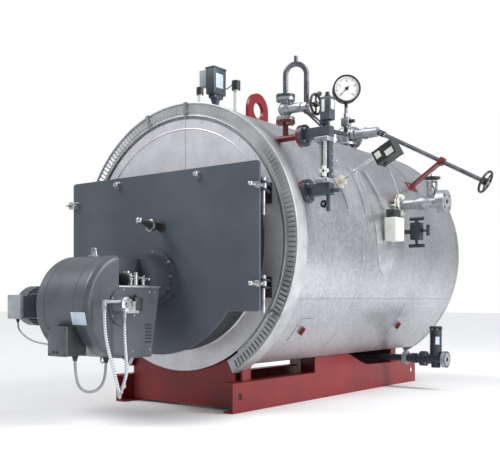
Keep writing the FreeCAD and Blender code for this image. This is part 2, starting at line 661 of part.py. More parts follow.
def make_steam_valve():
    """Angle stop valve on a nozzle at the top, its bonnet towards the spindle."""
    x = 150.0
    base = crest(x) - 8
    nozzle = cyl((x, STEAM_Y, base), AZ, 38, 40)
    low = flange((x, STEAM_Y, base + 20), AZ, 82, 16, 4, 9, 125, 0)
    globe = Part.makeSphere(66, V(x, STEAM_Y, base + 90))
    outlet = cyl((x, STEAM_Y, base + 90), AY, 40, 100)
    out_flange = flange((x, STEAM_Y + 90, base + 90), AY, 82, 16, 4, 9, 125, 30)
    start = V(x, STEAM_Y, base + 90)
    reach = ROD_START - ROD_DIR * 40 - start
    up = V(reach).normalize()
    bonnet = Part.makeCylinder(34, reach.Length, start, up)
    collar = Part.makeCylinder(52, 16, start + up * 66, up)
    whole = fuse([nozzle, low, globe, outlet, out_flange, bonnet, collar])
    whole = whole.cut(Part.makeCylinder(40, 80, ROD_START - ROD_DIR * (30 + SEAT), ROD_DIR))
    shell = cyl((0, STEAM_Y - 300, AXIS_Z), AY, CLAD_R + SEAT, 600)
    return whole.cut(shell)


BRACKET_ANGLE = 34.8


def make_spindle_bracket():
    """Radial flat bar with a fork that carries the spindle."""
    base = on_shell(BRACKET_ANGLE, STEAM_Y, CLAD_R - 6)
    out = radial(BRACKET_ANGLE)
    across = V(out.z, 0, -out.x)
    reach = crossing_length()
    corner = base - across * 7 - AY * 28
    bar = Part.makeBox(14, 56, reach + 6 + 26, V(0, 0, 0))
    place = FreeCAD.Placement()
    place.Rotation = FreeCAD.Rotation(across, AY, out)
    place.Base = corner
    bar.Placement = place
    eye = Part.makeCylinder(28, 30, rod_cross() - ROD_DIR * 15, ROD_DIR)
    pad = Part.makeBox(70, 120, 10)
    turned = FreeCAD.Placement()
    turned.Rotation = place.Rotation
    turned.Base = base - across * 35 - AY * 60
    pad.Placement = turned
    whole = fuse([bar, eye, pad])
    bore = Part.makeCylinder(ROD_R + PIN_PLAY, 120, rod_cross() - ROD_DIR * 60, ROD_DIR)
    shell = cyl((0, STEAM_Y - 200, AXIS_Z), AY, CLAD_R + SEAT, 400)
    return whole.cut(bore).cut(shell)


def rod_cross():
    """Where the spindle crosses the bracket's radial line."""
    out = radial(BRACKET_ANGLE)
    base = on_shell(BRACKET_ANGLE, STEAM_Y, CLAD_R)
    dx, dz = base.x - ROD_START.x, base.z - ROD_START.z
    det = ROD_DIR.x * -out.z + ROD_DIR.z * out.x
    s = (dx * -out.z + dz * out.x) / det
    return ROD_START + ROD_DIR * s


def crossing_length():
    return (rod_cross() - on_shell(BRACKET_ANGLE, STEAM_Y, CLAD_R)).Length


def make_spindle():
    rod = Part.makeCylinder(ROD_R, (ROD_END - ROD_START).Length, ROD_START, ROD_DIR)
    joint = Part.makeCylinder(20, 44, ROD_START - ROD_DIR * 30, ROD_DIR)
    return fuse([rod, joint])


def make_steam_wheel():
    centre = ROD_END - ROD_DIR * 8
    return handwheel(tuple(centre), ROD_DIR, 78, 8, 3, 24, 30, ROD_R + PIN_PLAY)


# ---- instrument group -----------------------------------------------------------------
GAUGE_Y = 150.0
PIPE_Z = 1457.0
BRANCH_X = 623.0


def side_x(z, r=CLAD_R):
    """X of the shell's right side at a height."""
    return math.sqrt(r ** 2 - (z - AXIS_Z) ** 2)


def make_gauge_pipe():
    """Red steam pipe out of the shell with its vertical branch and end flanges."""
    start = side_x(PIPE_Z) - 14
    main = cyl((start, GAUGE_Y, PIPE_Z), AX, 17, 728 - start)
    end = flange((720, GAUGE_Y, PIPE_Z), AX, FLANGE_115, 16, 4, 7, 85, 0)
    branch = cyl((BRANCH_X, GAUGE_Y, PIPE_Z), AZ, 15, 84)
    top = flange((BRANCH_X, GAUGE_Y, PIPE_Z + 78), AZ, FLANGE_105, 16, 4, 7, 75, 0)
    whole = fuse([main, end, branch, top])
    return whole.cut(cyl((0, 0, AXIS_Z), AY, CLAD_R + SEAT, 300))


VALVE_BASE = PIPE_Z + 78 + 16 + SEAT


def make_isolating_valve():
    """Silver stop valve with its flanges; the wheel's stem points to +X."""
    low = flange((BRANCH_X, GAUGE_Y, VALVE_BASE), AZ, FLANGE_105, 16, 4, 7, 75, 0)
    body = cyl((BRANCH_X, GAUGE_Y, VALVE_BASE + 10), AZ, 24, 100)
    globe = Part.makeSphere(40, V(BRANCH_X, GAUGE_Y, VALVE_BASE + 60))
    top = flange((BRANCH_X, GAUGE_Y, VALVE_BASE + 104), AZ, FLANGE_105, 16, 4, 7, 75, 0)
    bonnet = cyl((BRANCH_X, GAUGE_Y, VALVE_BASE + 60), AX, 26, 90)
    gland = cyl((BRANCH_X, GAUGE_Y, VALVE_BASE + 60), AX, 15, 130)
    stem = cyl((BRANCH_X, GAUGE_Y, VALVE_BASE + 60), AX, 7, 205)
    return fuse([low, body, globe, top, bonnet, gland, stem])


ISO_WHEEL_X = BRANCH_X + 188


def make_isolating_wheel():
    return handwheel((ISO_WHEEL_X, GAUGE_Y, VALVE_BASE + 60), AX, 58, 7, 4, 15, 18,
                     7 + PIN_PLAY)


SIPHON_LEG = V(722, 200, 0)          # the far leg of the U pipe
SIPHON_TOP, SIPHON_FOOT = 1795.0, 1600.0
SIPHON_INLET = V(850, 172, PIPE_Z + 30)


def make_siphon():
    """Flange, inverted U pipe and test nipple over the isolating valve."""
    z0 = VALVE_BASE + 120 + SEAT
    r = 14.0
    near = V(BRANCH_X, GAUGE_Y, SIPHON_TOP)
    far = V(SIPHON_LEG.x, SIPHON_LEG.y, SIPHON_TOP)
    bend = (far - near).Length / 2
    middle = (near + far) * 0.5
    normal = (far - near).cross(AZ)
    plate = flange((BRANCH_X, GAUGE_Y, z0), AZ, FLANGE_105, 16, 4, 7, 75, 0)
    up = cyl((BRANCH_X, GAUGE_Y, z0 + 8), AZ, r, SIPHON_TOP - z0 - 8)
    down = cyl((far.x, far.y, SIPHON_FOOT), AZ, r, SIPHON_TOP - SIPHON_FOOT)
    arc = Part.makeTorus(bend, r, middle, normal)
    arc = arc.common(box(500, 900, 0, 300, SIPHON_TOP, SIPHON_TOP + 200))
    nipple = cyl((middle.x, middle.y, SIPHON_TOP + bend + 8), AZ, 11, 34)
    foot = V(far.x, far.y, SIPHON_FOOT)
    elbow = Part.makeSphere(18, foot)
    tail = Part.makeCylinder(12, (SIPHON_INLET - foot).Length, foot, SIPHON_INLET - foot)
    tail = tail.cut(box(750, 905, 100, 200, 0, PIPE_Z + 30 + SEAT))
    return fuse([plate, up, down, arc, nipple, elbow, tail])


def make_manifold():
    """Dark manifold from the end flange, with the pressure switch stack on it."""
    plate = flange((736 + SEAT, GAUGE_Y, PIPE_Z), AX, FLANGE_115, 16, 4, 7, 85, 0)
    bar = box(750, 905, GAUGE_Y - 24, GAUGE_Y + 24, PIPE_Z - 24, PIPE_Z + 30)
    stem = cyl((880, GAUGE_Y, PIPE_Z + 28), AZ, 13, 40)
    switch = box(852, 908, GAUGE_Y - 26, GAUGE_Y + 26, PIPE_Z + 62, PIPE_Z + 178)
    seat = Part.makeSphere(20, V(855, GAUGE_Y, PIPE_Z + 58))
    return fuse([plate, bar, stem, switch, seat])


GAUGE_LOW_Z = 1165.0


def make_level_gauge():
    """Sight column between the two gauge connections."""
    z0, z1 = GAUGE_LOW_Z + 30, PIPE_Z - 24 - SEAT
    body = box(868, 902, GAUGE_Y - 20, GAUGE_Y + 20, z0 + 8, z1 - 22)
    glass = cyl((842, GAUGE_Y, z0), AZ, 10, z1 - z0)
    caps = [box(828, 904, GAUGE_Y - 18, GAUGE_Y + 18, z0, z0 + 26),
            box(828, 904, GAUGE_Y - 18, GAUGE_Y + 18, z1 - 26, z1)]
    return fuse([body, glass] + caps)


def make_gauge_foot():
    """Lower gauge connection with its flange, side stub and drain."""
    start = side_x(GAUGE_LOW_Z) - 14
    pipe_in = cyl((start, GAUGE_Y, GAUGE_LOW_Z), AX, 17, 800 - start)
    plate = flange((742, GAUGE_Y, GAUGE_LOW_Z), AX, 62, 32, 4, 7, 90, 0)
    body = box(800, 905, GAUGE_Y - 26, GAUGE_Y + 26, GAUGE_LOW_Z - 28, GAUGE_LOW_Z + 30 - SEAT)
    stub = cyl((900, GAUGE_Y, GAUGE_LOW_Z - 8), AX, 11, 48)
    drain = cyl((885, GAUGE_Y, GAUGE_LOW_Z - 112), AZ, 11, 90)
    knob = cyl((885, GAUGE_Y - 46, GAUGE_LOW_Z - 78), AY, 20, 10)
    neck = cyl((885, GAUGE_Y - 46, GAUGE_LOW_Z - 78), AY, 7, 46)
    whole = fuse([pipe_in, plate, body, stub, drain, knob, neck])
    return whole.cut(cyl((0, 0, AXIS_Z), AY, CLAD_R + SEAT, 300))


DIAL = V(930, 260, 1695)
DIAL_FACE = V(0.62, -0.78, 0)


def make_dial_gauge():
    """Pressure gauge on a cock at the manifold's end, dial turned to the operator."""
    face = V(DIAL_FACE).normalize()
    case = Part.makeCylinder(70, 46, DIAL - face * 46, face)
    foot = DIAL - face * 23
    stem = cyl((foot.x, foot.y, DIAL.z - 152), AZ, 9, 90)
    cock = box(foot.x - 20, foot.x + 20, foot.y - 18, foot.y + 18, DIAL.z - 190, DIAL.z - 148)
    lever = box(foot.x + 18, foot.x + 48, foot.y - 7, foot.y + 7, DIAL.z - 176, DIAL.z - 160)
    target = V(foot.x, foot.y, PIPE_Z + 6)
    drop = cyl((foot.x, foot.y, PIPE_Z + 6), AZ, 11, DIAL.z - 186 - PIPE_Z - 6)
    start = V(897, GAUGE_Y + 24 + SEAT, PIPE_Z + 6)
    link = Part.makeCylinder(11, (target - start).Length, start, target - start)
    knuckle = Part.makeSphere(13, target)
    whole = fuse([case, stem, cock, lever, drop, link, knuckle])
    return whole.cut(box(750, 905, GAUGE_Y - 24, GAUGE_Y + 24 + SEAT, PIPE_Z - 24, PIPE_Z + 30))


PROBE_ANGLE, PROBE_Y = 26.5, 561.0
PROBE_DIR = V(math.cos(0.5), 0, math.sin(0.5))
PROBE_BASE = on_shell(PROBE_ANGLE, PROBE_Y, CLAD_R)


def make_level_probe():
    """Inclined level probe with its connection head."""
    start = PROBE_BASE - PROBE_DIR * 20
    socket = Part.makeCylinder(26, 52, start, PROBE_DIR)
    rod = Part.makeCylinder(8, 300, start, PROBE_DIR)
    up = PROBE_DIR.cross(AY)
    head = Part.makeBox(122, 92, 78)
    place = FreeCAD.Placement()
    place.Rotation = FreeCAD.Rotation(PROBE_DIR, AY, up)
    place.Base = start + PROBE_DIR * 286 - AY * 46 - up * 66
    head.Placement = place
    whole = fuse([socket, rod, head])
    return whole.cut(cyl((0, PROBE_Y - 100, AXIS_Z), AY, CLAD_R + SEAT, 200))


PROBE_UP = PROBE_DIR.cross(AY)
BOX_X, BOX_Y, BOX_Z = 842.0, 985.0, 1022.0


# ---- feed group -----------------------------------------------------------------------
FEED_Y, FEED_Z = 1200.0, 1190.0


def make_feed_valve():
    """Feed nozzle, flange pair, stop valve with a yoke and the open end flange."""
    start = side_x(FEED_Z) - 10
    nozzle = cyl((start, FEED_Y, FEED_Z), AX, 24, 780 - start)
    first = flange((752, FEED_Y, FEED_Z), AX, 62, 16, 4, 9, 90, 0)
    second = flange((768 + SEAT, FEED_Y, FEED_Z), AX, FLANGE_140 - 4, 18, 4, 9, 100, 0)
    body = cyl((784, FEED_Y, FEED_Z), AX, 32, 250)
    globe = Part.makeSphere(40, V(926, FEED_Y, FEED_Z), AX)
    last = flange((1030, FEED_Y, FEED_Z), AX, FLANGE_140, 48, 4, 9, 100, 16)
    neck = cyl((983, FEED_Y, FEED_Z), AZ, 20, 78)
    stem = cyl((983, FEED_Y, FEED_Z + 60), AZ, 6, 112)
    deck = box(950, 1016, FEED_Y - 20, FEED_Y + 20, FEED_Z + 30, FEED_Z + 39)
    yoke = [box(950, 958, FEED_Y - 9, FEED_Y + 9, FEED_Z + 34, FEED_Z + 128),
            box(1008, 1016, FEED_Y - 9, FEED_Y + 9, FEED_Z + 34, FEED_Z + 128),
            box(950, 1016, FEED_Y - 10, FEED_Y + 10, FEED_Z + 120, FEED_Z + 130)]
    whole = fuse([nozzle, first, second, body, globe, last, neck, stem, deck] + yoke)
    return whole.cut(cyl((0, FEED_Y - 100, AXIS_Z), AY, CLAD_R + SEAT, 200))


def make_feed_wheel():
    return handwheel((983, FEED_Y, FEED_Z + 148), AZ, 52, 7, 4, 14, 18, 6 + PIN_PLAY)


def make_sample_valve():
    """Dark blue valve under the feed line with three T handles."""
    x, y, z = 885.0, FEED_Y, 1020.0
    start = side_x(z) - 8
    inlet = cyl((start, y, z), AX, 14, x - start)
    body = box(x - 30, x + 30, y - 30, y + 30, z - 52, z + 52)
    top = cyl((x, y, z + 50), AZ, 9, 24)
    top_bar = cyl((x - 42, y, z + 78), AX, 10, 88)
    low = cyl((x, y, z - 84), AZ, 9, 34)
    low_bar = cyl((x - 48, y, z - 88), AX, 8, 96)
    right = cyl((x + 28, y, z + 4), AX, 9, 46)
    right_bar = cyl((x + 74, y, z - 28), AZ, 9, 64)
    whole = fuse([inlet, body, top, top_bar, low, low_bar, right, right_bar])
    return whole.cut(cyl((0, y - 100, AXIS_Z), AY, CLAD_R + SEAT, 200))


def make_water_box():
    """Pale conductivity sensor box on a short stand-off with a dark lid."""
    block = box(BOX_X - 36, BOX_X + 36, BOX_Y - 55, BOX_Y + 55, BOX_Z - 70, BOX_Z + 66)
    lid = box(BOX_X - 34, BOX_X + 20, BOX_Y - 40, BOX_Y + 40, BOX_Z + 66, BOX_Z + 118)
    knob = cyl((BOX_X - 10, BOX_Y, BOX_Z + 118), AZ, 12, 30)
    stand = box(side_x(BOX_Z) - 12, BOX_X, BOX_Y - 25, BOX_Y + 25, BOX_Z - 30, BOX_Z + 30)
    whole = fuse([block, lid, knob, stand])
    return whole.cut(cyl((0, BOX_Y - 100, AXIS_Z), AY, CLAD_R + SEAT, 200))


# ---- blowdown -------------------------------------------------------------------------
BLOW_Y, BLOW_Z = 1660.0, 206.0


def make_blowdown():
    """Blowdown line from the vessel's underside over the channel, with its fast valve."""
    line = cyl((60, BLOW_Y, BLOW_Z), AX, 22, 540)
    pad = cyl((60, BLOW_Y, BLOW_Z - 22), AZ, 30, 44)
    first = flange((585, BLOW_Y, BLOW_Z), AX, 46, 24, 4, 6, 68, 0)
    body = cyl((600, BLOW_Y, BLOW_Z), AX, 26, 130)
    swell = cyl((640, BLOW_Y, BLOW_Z), AX, 34, 40)
    pair = [flange((706, BLOW_Y, BLOW_Z), AX, 50, 18, 4, 6, 74, 0),
            flange((727, BLOW_Y, BLOW_Z), AX, 50, 18, 4, 6, 74, 0)]
    valve = cyl((720, BLOW_Y, BLOW_Z), AX, 34, 150)
    low = cyl((810, BLOW_Y, BLOW_Z - 56), AZ, 30, 40)
    last = flange((862, BLOW_Y, BLOW_Z), AX, 54, 26, 4, 6, 80, 14)
    actuator = cyl((810, BLOW_Y, BLOW_Z + 20), AZ, 38, 175)
    wings = cyl((770, BLOW_Y, BLOW_Z + 206), AX, 13, 80)
    top = cyl((810, BLOW_Y, BLOW_Z + 190), AZ, 20, 20)
    whole = fuse([line, pad, first, body, swell, valve, low, last, actuator, wings, top] + pair)
    return whole.cut(cyl((0, BLOW_Y - 100, AXIS_Z), AY, VESSEL_R + SEAT, 200))


# ---- probe cable ----------------------------------------------------------------------
CABLE_START = PROBE_BASE + PROBE_DIR * 292 - PROBE_UP * (66 + SEAT)
PROBE_CABLE = [tuple(CABLE_START), tuple(CABLE_START - PROBE_UP * 55),
               (1024, 610, 1244), (1004, 690, 1208), (968, 775, 1189), (930, 845, 1187),
               (888, 900, 1197), (862, 972, 1205), (850, 1004, 1175),
               (850, 1004, BOX_Z + 118 + SEAT)]


# ---- build ----------------------------------------------------------------------------
os.makedirs("parts", exist_ok=True)

export("skid_frame", make_skid())
export("vessel_shell", pipe((0, 8, AXIS_Z), AY, VESSEL_R, VESSEL_WALL, SHELL_LENGTH - 22))
export("tube_plates", [tube_plate(TUBE_PLATE_Y, True), tube_plate(REAR_PLATE_Y, False)])
export("furnace_tube", make_furnace())
export("fire_tubes", make_fire_tubes())
export("cladding", make_cladding())
export("front_ring", make_end_ring(0, 1))
export("front_end_plate", make_front_end_plate())
export("front_drum", make_drum())
export("rear_cover", make_rear_cover())
export("flue_spigot", make_flue())
export("rear_hatch", make_hatch())
export("hinge_brackets", make_brackets())
export("hinge_pins", make_pins())

export("hinge_eyes", make_eyes())
export("door_plate", make_door_plate())
export("door_lining", make_door_lining())
export("blast_tube", make_blast_tube())
export("door_nuts", make_door_nuts())
export("sight_glass", make_sight_glass())
export("burner_flange", make_burner_flange())
export("burner_housing", make_housing())
export("burner_head", make_head())
export("burner_motor", make_motor())
export("control_box", make_control_box())
export("oil_pump", make_pump())
export("burner_linkage", make_linkage())
export("burner_eye", make_burner_eye())
export("oil_hose_a", tube_along(HOSE_A, HOSE_R, "oil_hose_a"))
export("oil_hose_b", tube_along(HOSE_B, HOSE_R, "oil_hose_b"))
export("hose_nuts", make_hose_nuts())
export("conduit_loop", tube_along(CONDUIT, CONDUIT_R, "conduit_loop"))
export("motor_cable", tube_along(MOTOR_CABLE, MOTOR_CABLE_R, "motor_cable"))

export("lifting_eye", make_lifting_eye())
export("top_controller", make_controller())
export("top_probes", make_probes())
export("steam_valve", make_steam_valve())
export("spindle_bracket", make_spindle_bracket())
export("steam_spindle", make_spindle())
export("steam_wheel", make_steam_wheel())
export("gauge_pipe", make_gauge_pipe())
export("isolating_valve", make_isolating_valve())
export("isolating_wheel", make_isolating_wheel())
export("siphon_pipe", make_siphon())
export("pressure_manifold", make_manifold())
export("level_gauge", make_level_gauge())
export("gauge_foot", make_gauge_foot())
export("dial_gauge", make_dial_gauge())
export("level_probe", make_level_probe())
export("probe_cable", tube_along(PROBE_CABLE, PROBE_CABLE_R, "probe_cable"))
export("feed_valve", make_feed_valve())
export("feed_wheel", make_feed_wheel())
export("sample_valve", make_sample_valve())
export("water_box", make_water_box())
export("blowdown_valve", make_blowdown())
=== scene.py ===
# A horizontal fire-tube steam boiler on a red channel skid: sheet-clad shell, louvred
# end ring, dark hinged door with an oil burner, and its valves and gauges on the right.
import math

import bmesh
import bpy
from mathutils import Matrix, Vector


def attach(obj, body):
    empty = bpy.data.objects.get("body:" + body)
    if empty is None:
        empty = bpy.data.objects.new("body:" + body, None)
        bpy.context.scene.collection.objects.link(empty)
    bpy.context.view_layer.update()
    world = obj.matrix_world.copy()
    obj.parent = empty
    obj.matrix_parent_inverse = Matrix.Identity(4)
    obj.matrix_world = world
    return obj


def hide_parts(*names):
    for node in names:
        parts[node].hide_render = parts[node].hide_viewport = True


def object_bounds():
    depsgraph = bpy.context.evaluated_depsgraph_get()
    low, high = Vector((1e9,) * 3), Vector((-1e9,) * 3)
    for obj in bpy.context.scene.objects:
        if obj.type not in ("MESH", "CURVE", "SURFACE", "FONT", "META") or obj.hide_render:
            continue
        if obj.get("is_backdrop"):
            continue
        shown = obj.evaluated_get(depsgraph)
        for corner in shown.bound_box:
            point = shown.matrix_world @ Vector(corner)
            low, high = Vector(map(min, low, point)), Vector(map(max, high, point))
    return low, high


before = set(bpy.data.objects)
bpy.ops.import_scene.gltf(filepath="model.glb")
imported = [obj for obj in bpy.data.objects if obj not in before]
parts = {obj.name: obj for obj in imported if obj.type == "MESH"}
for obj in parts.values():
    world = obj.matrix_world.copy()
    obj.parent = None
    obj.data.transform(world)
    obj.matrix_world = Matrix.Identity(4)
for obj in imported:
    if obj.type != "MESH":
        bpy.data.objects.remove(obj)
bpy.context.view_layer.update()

scene = bpy.context.scene

# ---- viewpoint ------------------------------------------------------------------------
# A level camera a little below the boiler's middle, off the corner between the burner
# and the fittings side. Places in this file are in millimetres: across, behind the front
# end ring, above the floor.


def at(across, behind, up):
    """The place in the frame, in metres, of millimetres set out from the end ring."""
    return Vector((across, behind - 1038.5, up)) / 1000


lens = bpy.data.cameras.new("viewpoint")
lens.lens = 57.0
lens.sensor_width = 36.0
lens.shift_x = 0.0636
lens.shift_y = 0.1284
lens.clip_start, lens.clip_end = 0.05, 60.0
viewer = bpy.data.objects.new("viewpoint", lens)
viewer.location = at(2976, -3356, 604)
viewer.rotation_euler = (math.radians(90), 0, math.radians(38.73))
scene.collection.objects.link(viewer)
scene.camera = viewer

# ---- hoses and cables -----------------------------------------------------------------
# Two braided steel oil hoses under the pump, a grey flexible conduit looped under the
# burner and two thin PVC cables. Each is one smooth run between its two ends.


def linear(shade):
    """An sRGB hex colour such as 8b2024 as linear red, green, blue and alpha."""
    out = []
    for i in (0, 2, 4):
        c = int(shade[i:i + 2], 16) / 255
        out.append(c / 12.92 if c <= 0.04045 else ((c + 0.055) / 1.055) ** 2.4)
    return (*out, 1.0)


def feed(mat, node, values):
    """Sets a node's inputs by name, or links those given as another node's output."""
    for name, value in values.items():
        if isinstance(value, bpy.types.NodeSocket):
            mat.node_tree.links.new(value, node.inputs[name])
        else:
            node.inputs[name].default_value = value


def add(mat, kind, values=None, **settings):
    """Adds one node to a material with its settings, input values and links."""
    made = mat.node_tree.nodes.new(kind)
    for name, value in settings.items():
        setattr(made, name, value)
    feed(mat, made, values or {})
    return made


def tones(mat, amount, dark, light, dark_at=0.0, light_at=1.0):
    """A ramp from a dark to a light shade over an amount."""
    ramp = add(mat, "ShaderNodeValToRGB", {"Fac": amount})
    for step, shade, along in zip(ramp.color_ramp.elements, (dark, light), (dark_at, light_at)):
        step.position, step.color = along, linear(shade)
    return ramp.outputs["Color"]


def finish(name, rough=0.5, metal=0.0):
    """A new material; returns it, its shader and its Object place."""
    mat = bpy.data.materials.new(name)
    mat.use_nodes = True
    shader = mat.node_tree.nodes["Principled BSDF"]
    feed(mat, shader, {"Roughness": rough, "Metallic": metal})
    return mat, shader, add(mat, "ShaderNodeTexCoord").outputs["Object"]


def coated(name, light, dark, size_mm, grit_mm, rough, depth_mm, metal=0.0):
    """A finish with uneven tone over size_mm, and a bump and gloss change at grit_mm."""
    mat, shader, place = finish(name, metal=metal)
    tone = add(mat, "ShaderNodeTexNoise", {"Vector": place, "Scale": 1000 / size_mm,
        "Detail": 4.0, "Roughness": 0.6})
    grit = add(mat, "ShaderNodeTexNoise", {"Vector": place, "Scale": 1000 / grit_mm,
        "Detail": 3.0}).outputs["Fac"]
    gloss = add(mat, "ShaderNodeMapRange", {"Value": grit, "From Min": 0.25, "From Max": 0.75,
        "To Min": rough - 0.07, "To Max": rough + 0.09})
    bump = add(mat, "ShaderNodeBump", {"Height": grit, "Strength": 0.5,
        "Distance": depth_mm / 1000})
    feed(mat, shader, {"Base Color": tones(mat, tone.outputs["Fac"], dark, light, 0.3, 0.72),
        "Roughness": gloss.outputs["Result"], "Normal": bump.outputs["Normal"]})
    return mat


# Stainless wire braid over a rubber hose: two crossing sets of wires, drawn 5 mm apart
# because the real 1 mm wires are too fine to show.
hose_braid, braid_shader, braid_place = finish("stainless_wire_braid", 0.34, 0.8)
crossed = []
for lean in (38, -38):
    turn = add(hose_braid, "ShaderNodeMapping", {"Vector": braid_place,
        "Rotation": (0, math.radians(lean), math.radians(lean))})
    crossed.append(add(hose_braid, "ShaderNodeTexWave",
        {"Vector": turn.outputs["Vector"], "Scale": 1000 / 5 / math.tau, "Distortion": 0.4},
        bands_direction="Z").outputs["Fac"])
over = add(hose_braid, "ShaderNodeMath", {0: crossed[0], 1: crossed[1]},
    operation="MAXIMUM").outputs["Value"]
braid_bump = add(hose_braid, "ShaderNodeBump", {"Height": over, "Strength": 0.6,
    "Distance": 0.0008})
feed(hose_braid, braid_shader, {"Base Color": tones(hose_braid, over, "8b8f95", "dfe3e8"),
    "Normal": braid_bump.outputs["Normal"]})

# Extruded PVC jacket: even, slightly matt grey with faint handling marks.
cable_grey = coated("grey_pvc_jacket", "a9abac", "8b8d8f", 45, 3, 0.48, 0.15)


def cord_run(name, points, thick_mm, finish_of, rides_on, stands_for):
    """A smooth round cord through its route's points, given in millimetres."""
    curve = bpy.data.curves.new(name, "CURVE")
    curve.dimensions = "3D"
    run = curve.splines.new("NURBS")
    run.points.add(len(points) - 1)
    for knot, p in zip(run.points, points):
        knot.co = (*at(*p), 1.0)
    run.order_u = 3
    run.use_endpoint_u = True
    run.resolution_u = 10
    curve.bevel_depth = thick_mm / 2000
    curve.bevel_resolution = 5
    curve.use_fill_caps = True
    curve.materials.append(finish_of)
    cord = bpy.data.objects.new(name, curve)
    scene.collection.objects.link(cord)
    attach(cord, rides_on)
    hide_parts(stands_for)
    return cord


hose_a = cord_run("pump_hose_front", [(250, -806, 560), (250, -806, 500), (250, -797, 420),
    (250, -772, 340), (250, -744, 260), (250, -722, 200), (250, -712, 160)], 16, hose_braid,
    "door", "oil_hose_a")
hose_b = cord_run("pump_hose_rear", [(250, -676, 500), (250, -676, 440), (252, -672, 370),
    (257, -668, 300), (255, -668, 240), (246, -675, 200), (235, -684, 162)], 16, hose_braid,
    "door", "oil_hose_b")
loop = cord_run("burner_conduit", [(70, -828, 333.7), (70, -828, 209.6), (77.3, -776.4, 152.5),
    (87.7, -701.6, 152.5), (95, -650, 209.6), (95, -650, 314.6)], 14, cable_grey, "door",
    "conduit_loop")
motor_lead = cord_run("motor_lead", [(-440, -775, 505.7), (-440, -775, 480), (-418, -788, 448),
    (-360, -806, 424), (-290, -826, 404), (-210, -842, 390), (-130, -848, 384), (-70, -850, 382),
    (-30.3, -850, 382)], 9, cable_grey, "door", "motor_cable")
probe_lead = cord_run("probe_lead", [(997.72, 561, 1343.64), (1024.09, 561, 1295.38),
    (1024, 610, 1244), (1004, 690, 1208), (968, 775, 1189), (930, 845, 1187), (888, 900, 1197),
    (862, 972, 1205), (850, 1004, 1175), (850, 1004, 1140.3)], 9, cable_grey, "boiler",
    "probe_cable")

# ---- skid -----------------------------------------------------------------------------
# Welded frame of two rolled channels with cross plates, in red gloss enamel sprayed over
# primer: deep red, slightly uneven, with orange peel that softens its highlights.


def wear(parts_named, mat):
    """Gives carried-over nodes a finish."""
    for name in parts_named:
        for held in parts[name].material_slots:
            held.material = mat


red_enamel = coated("red_gloss_enamel", "8a1d21", "6c1317", 260, 5, 0.36, 0.25)
wear(["skid_frame", "lifting_eye"], red_enamel)


def piece(name, bm, mat, rides_on="boiler", sharp=32):
    """Turns a finished bmesh into an object that rides on a body."""
    bmesh.ops.recalc_face_normals(bm, faces=bm.faces)
    mesh = bpy.data.meshes.new(name)
    bm.to_mesh(mesh)
    bm.free()
    mesh.shade_smooth()
    mesh.set_sharp_from_angle(angle=math.radians(sharp))
    mesh.materials.append(mat)
    made = bpy.data.objects.new(name, mesh)
    scene.collection.objects.link(made)
    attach(made, rides_on)
    return made


def formed(name, mat, *shapes, rides_on="boiler", slot=None):
    """A piece built from shapes, each given as its maker and the sizes that it takes."""
    bm = bmesh.new()
    for make, *sizes in shapes:
        make(bm, *sizes)
    return piece(name, bm, mat, rides_on)


def facing(direction, place):
    """A matrix at a place whose Z points along a direction."""
    turn = Vector(direction).to_track_quat("Z", "Y").to_matrix().to_4x4()
    return Matrix.Translation(place) @ turn


def framed(across, along, out, place):
    """A matrix at a place with its three axes given."""
    stand = Matrix((across, along, out)).transposed().to_4x4()
    stand.translation = place
    return stand


def bar(bm, start, end, r_mm, sides=24, r_end_mm=None):
    """A round bar or cone between two places."""
    way = end - start
    bmesh.ops.create_cone(bm, cap_ends=True, segments=sides, radius1=r_mm / 1000,
        radius2=(r_mm if r_end_mm is None else r_end_mm) / 1000, depth=way.length,
        matrix=facing(way, (start + end) / 2))


def soften(bm, edges, round_mm, steps=1):
    """Rounds the given edges."""
    bmesh.ops.bevel(bm, geom=edges, offset=round_mm / 1000, segments=steps, profile=0.5,
        affect="EDGES", material=-1)


def slab(bm, low, high, round_mm=0.0):
    """A block between two corners in millimetres, its edges rounded."""
    a, b = at(*low), at(*high)
    size = Matrix.Diagonal((*(b - a), 1))
    verts = bmesh.ops.create_cube(bm, size=1, matrix=Matrix.Translation((a + b) / 2) @ size)
    if round_mm:
        soften(bm, list({e for v in verts["verts"] for e in v.link_edges}), round_mm, 2)


def turned(bm, place, direction, outline, steps=40):
    """Spins an outline of (along, radius) pairs in millimetres about an axis."""
    stand = facing(direction, place)
    verts = [bm.verts.new(stand @ Vector((r / 1000, 0, a / 1000))) for a, r in outline]
    edges = [bm.edges.new(pair) for pair in zip(verts, verts[1:])]
    bmesh.ops.spin(bm, geom=verts + edges, cent=stand.translation,
        axis=stand.to_3x3() @ Vector((0, 0, 1)), angle=math.tau, steps=steps, use_merge=True)
    bmesh.ops.remove_doubles(bm, verts=bm.verts, dist=0.00002)


# Weld beads where the cross plates and posts meet the channels.
beads = bmesh.new()
for side in (-1, 1):
    for behind in (25, 37, 1850, 1862):
        bar(beads, at(side * 372, behind, 14), at(side * 372, behind, 146), 3.5, 8)
    for behind in (52, 128, 1805, 1881):
        bar(beads, at(side * 396, behind, 161), at(side * 412, behind, 161), 3.5, 8)
    bar(beads, at(side * 398, 52, 161), at(side * 398, 128, 161), 3.5, 8)
bar(beads, at(426, 744, 161), at(426, 1400, 161), 3.0, 8)
piece("skid_welds", beads, red_enamel)

